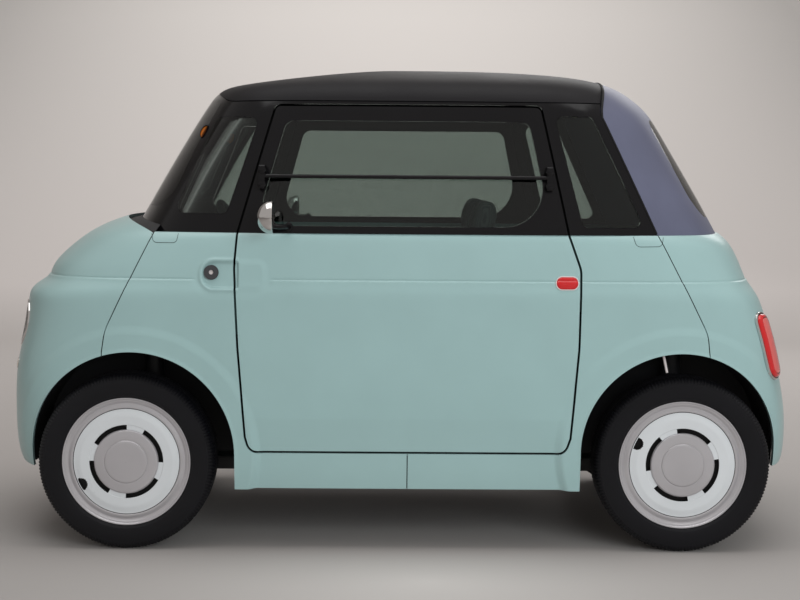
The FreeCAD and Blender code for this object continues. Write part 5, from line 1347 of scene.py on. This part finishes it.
block_piece("display_hood", (-0.615, -0.305, 0.985), (0.030, 0.105, 0.034), 0.012, dash_grain, "body",
            tilt=-0.35)
block_piece("display_glass", (-0.5895, -0.305, 0.990), (0.004, 0.092, 0.026), 0.003, screen_black, "body",
            tilt=-0.35)
for k, y in enumerate((-0.50, -0.11, 0.11, 0.50)):
    for row in range(4):
        block_piece("vent_%d_blade_%d" % (k, row), (-0.556, y, 0.878 + 0.011 * row), (0.006, 0.045, 0.0022),
                    0.002, frame_gloss, "body", tilt=0.3)
for name, y in (("accelerator", -0.20), ("brake", -0.30)):
    block_piece(name + "_pedal", (-0.600, y, 0.400), (0.008, 0.030, 0.045), 0.006, moulding, "body",
                tilt=-0.5)
    bend = curve_points([(-0.604, y, 0.42), (-0.64, y, 0.48), (-0.66, y, 0.56), (-0.665, y, 0.66)], 14)
    tube(name + "_arm", bend, np.full(14, 0.008), steel, "body", count=12)
for side, way in SIDES:
    block_piece("door_trim_" + side, (0.02, way * 0.640, 0.80), (0.40, 0.0045, 0.13), 0.004, trim_mint,
                "door_" + side)
    block_piece("arm_rest_" + side, (0.05, way * 0.618, 0.70), (0.20, 0.018, 0.022), 0.015, dash_grain,
                "door_" + side)


def backdrop():
    """Floor that bends up into the wall behind: a profile line drawn across the whole width.
    Its colour holds painted shade and a painted pool of light.
    """
    width, near, far, bend, high = 30.0, -14.0, 9.0, 3.0, 14.0
    angle = np.linspace(0, math.pi / 2, 24)
    y = np.concatenate([[near], far - bend + bend * np.sin(angle), [far]])
    z = np.concatenate([[0.0], bend - bend * np.cos(angle), [high]])
    x = np.array([-width, width])
    count = len(y)
    verts = np.stack([np.repeat(x, count), np.tile(y, 2), np.tile(z, 2)], 1)
    low = np.arange(count - 1)
    faces = np.stack([low, low + count, low + count + 1, low + 1], 1)
    mesh = bpy.data.meshes.new("floor")
    mesh.from_pydata(verts.tolist(), [], faces.tolist())
    mesh.shade_smooth()
    floor = bpy.data.objects.new("floor", mesh)
    scene.collection.objects.link(floor)
    mat, tree, bsdf = node_tree("studio_floor_painted_light")
    place = add(tree, "ShaderNodeTexCoord").outputs["Object"]
    split = add(tree, "ShaderNodeSeparateXYZ")
    tree.links.new(place, split.inputs["Vector"])
    # Painted shade: the colour is darker low on the floor and lighter up the wall.
    rise = add(tree, "ShaderNodeMath", {1: 0.2}, operation="MULTIPLY")
    tree.links.new(split.outputs["Z"], rise.inputs[0])
    shade = ramp(tree, rise.outputs["Value"], [(0.0, srgb(170, 165, 162)), (0.06, srgb(192, 186, 183)),
                                               (0.5, srgb(216, 211, 207))])
    # Painted shade: darker towards the sides, more so the higher the wall climbs, held at 0.58 at the least.
    square = add(tree, "ShaderNodeMath", {1: 2.0}, operation="POWER")
    tree.links.new(split.outputs["X"], square.inputs[0])
    corner = add(tree, "ShaderNodeMath", operation="MULTIPLY")
    tree.links.new(square.outputs["Value"], corner.inputs[0])
    tree.links.new(split.outputs["Z"], corner.inputs[1])
    fall = add(tree, "ShaderNodeMath", {1: -0.0135, 2: 1.0}, operation="MULTIPLY_ADD")
    tree.links.new(corner.outputs["Value"], fall.inputs[0])
    held = add(tree, "ShaderNodeMath", {1: 0.58}, operation="MAXIMUM")
    tree.links.new(fall.outputs["Value"], held.inputs[0])
    # Painted light: a round pool of light on the floor round the car lifts the colour.
    shift = add(tree, "ShaderNodeMapping", {"Location": (-0.05, 0.95, 0.0), "Scale": (0.7, 0.9, 0.0)})
    tree.links.new(place, shift.inputs["Vector"])
    painted_light_pool = add(tree, "ShaderNodeTexGradient", gradient_type="QUADRATIC_SPHERE")
    tree.links.new(shift.outputs["Vector"], painted_light_pool.inputs["Vector"])
    lift = add(tree, "ShaderNodeMath", {1: 0.62}, operation="MULTIPLY_ADD")
    tree.links.new(painted_light_pool.outputs["Fac"], lift.inputs[0])
    tree.links.new(held.outputs["Value"], lift.inputs[2])
    mixed = add(tree, "ShaderNodeVectorMath", operation="SCALE")
    tree.links.new(shade, mixed.inputs[0])
    tree.links.new(lift.outputs["Value"], mixed.inputs["Scale"])
    tree.links.new(mixed.outputs["Vector"], bsdf.inputs["Base Color"])
    bsdf.inputs["Roughness"].default_value = 0.85
    bsdf.inputs["Specular IOR Level"].default_value = 0.2
    mesh.materials.append(mat)


backdrop()


def area_light(name, place, target, size, power, colour=(1, 1, 1)):
    """Soft rectangular lamp that faces a point."""
    data = bpy.data.lights.new(name, "AREA")
    data.shape = "RECTANGLE"
    data.size, data.size_y = size
    data.energy = power
    data.color = colour
    lamp = bpy.data.objects.new(name, data)
    scene.collection.objects.link(lamp)
    back = np.array(place, float) - np.array(target, float)
    back /= np.linalg.norm(back)
    side = np.cross([0, 0, 1.0], back)
    side /= np.linalg.norm(side)
    matrix = np.eye(4)
    matrix[:3, 0], matrix[:3, 1], matrix[:3, 2], matrix[:3, 3] = side, np.cross(back, side), back, place
    lamp.matrix_world = Matrix(matrix.tolist())
    return lamp


area_light("overhead", (0, -0.6, 5.2), (0, 0, 0.4), (6.0, 4.0), 120)
near = area_light("near_side", (3.0, -7.3, 2.6), (0.2, 0, 0.6), (5.0, 3.0), 285, (0.90, 0.97, 1.0))
near.visible_glossy = False
area_light("far_side", (2.5, 6.0, 4.0), (0, 0, 0.8), (5.0, 2.5), 90)
wall = area_light("wall_wash", (0, 3.4, 6.5), (0, 9.0, 3.2), (14.0, 1.6), 420)
wall.visible_glossy = False
scene.world = bpy.data.worlds.new("studio")
scene.world.use_nodes = True
sky = scene.world.node_tree.nodes["Background"].inputs
sky["Color"].default_value, sky["Strength"].default_value = (*srgb(225, 221, 218), 1), 0.55
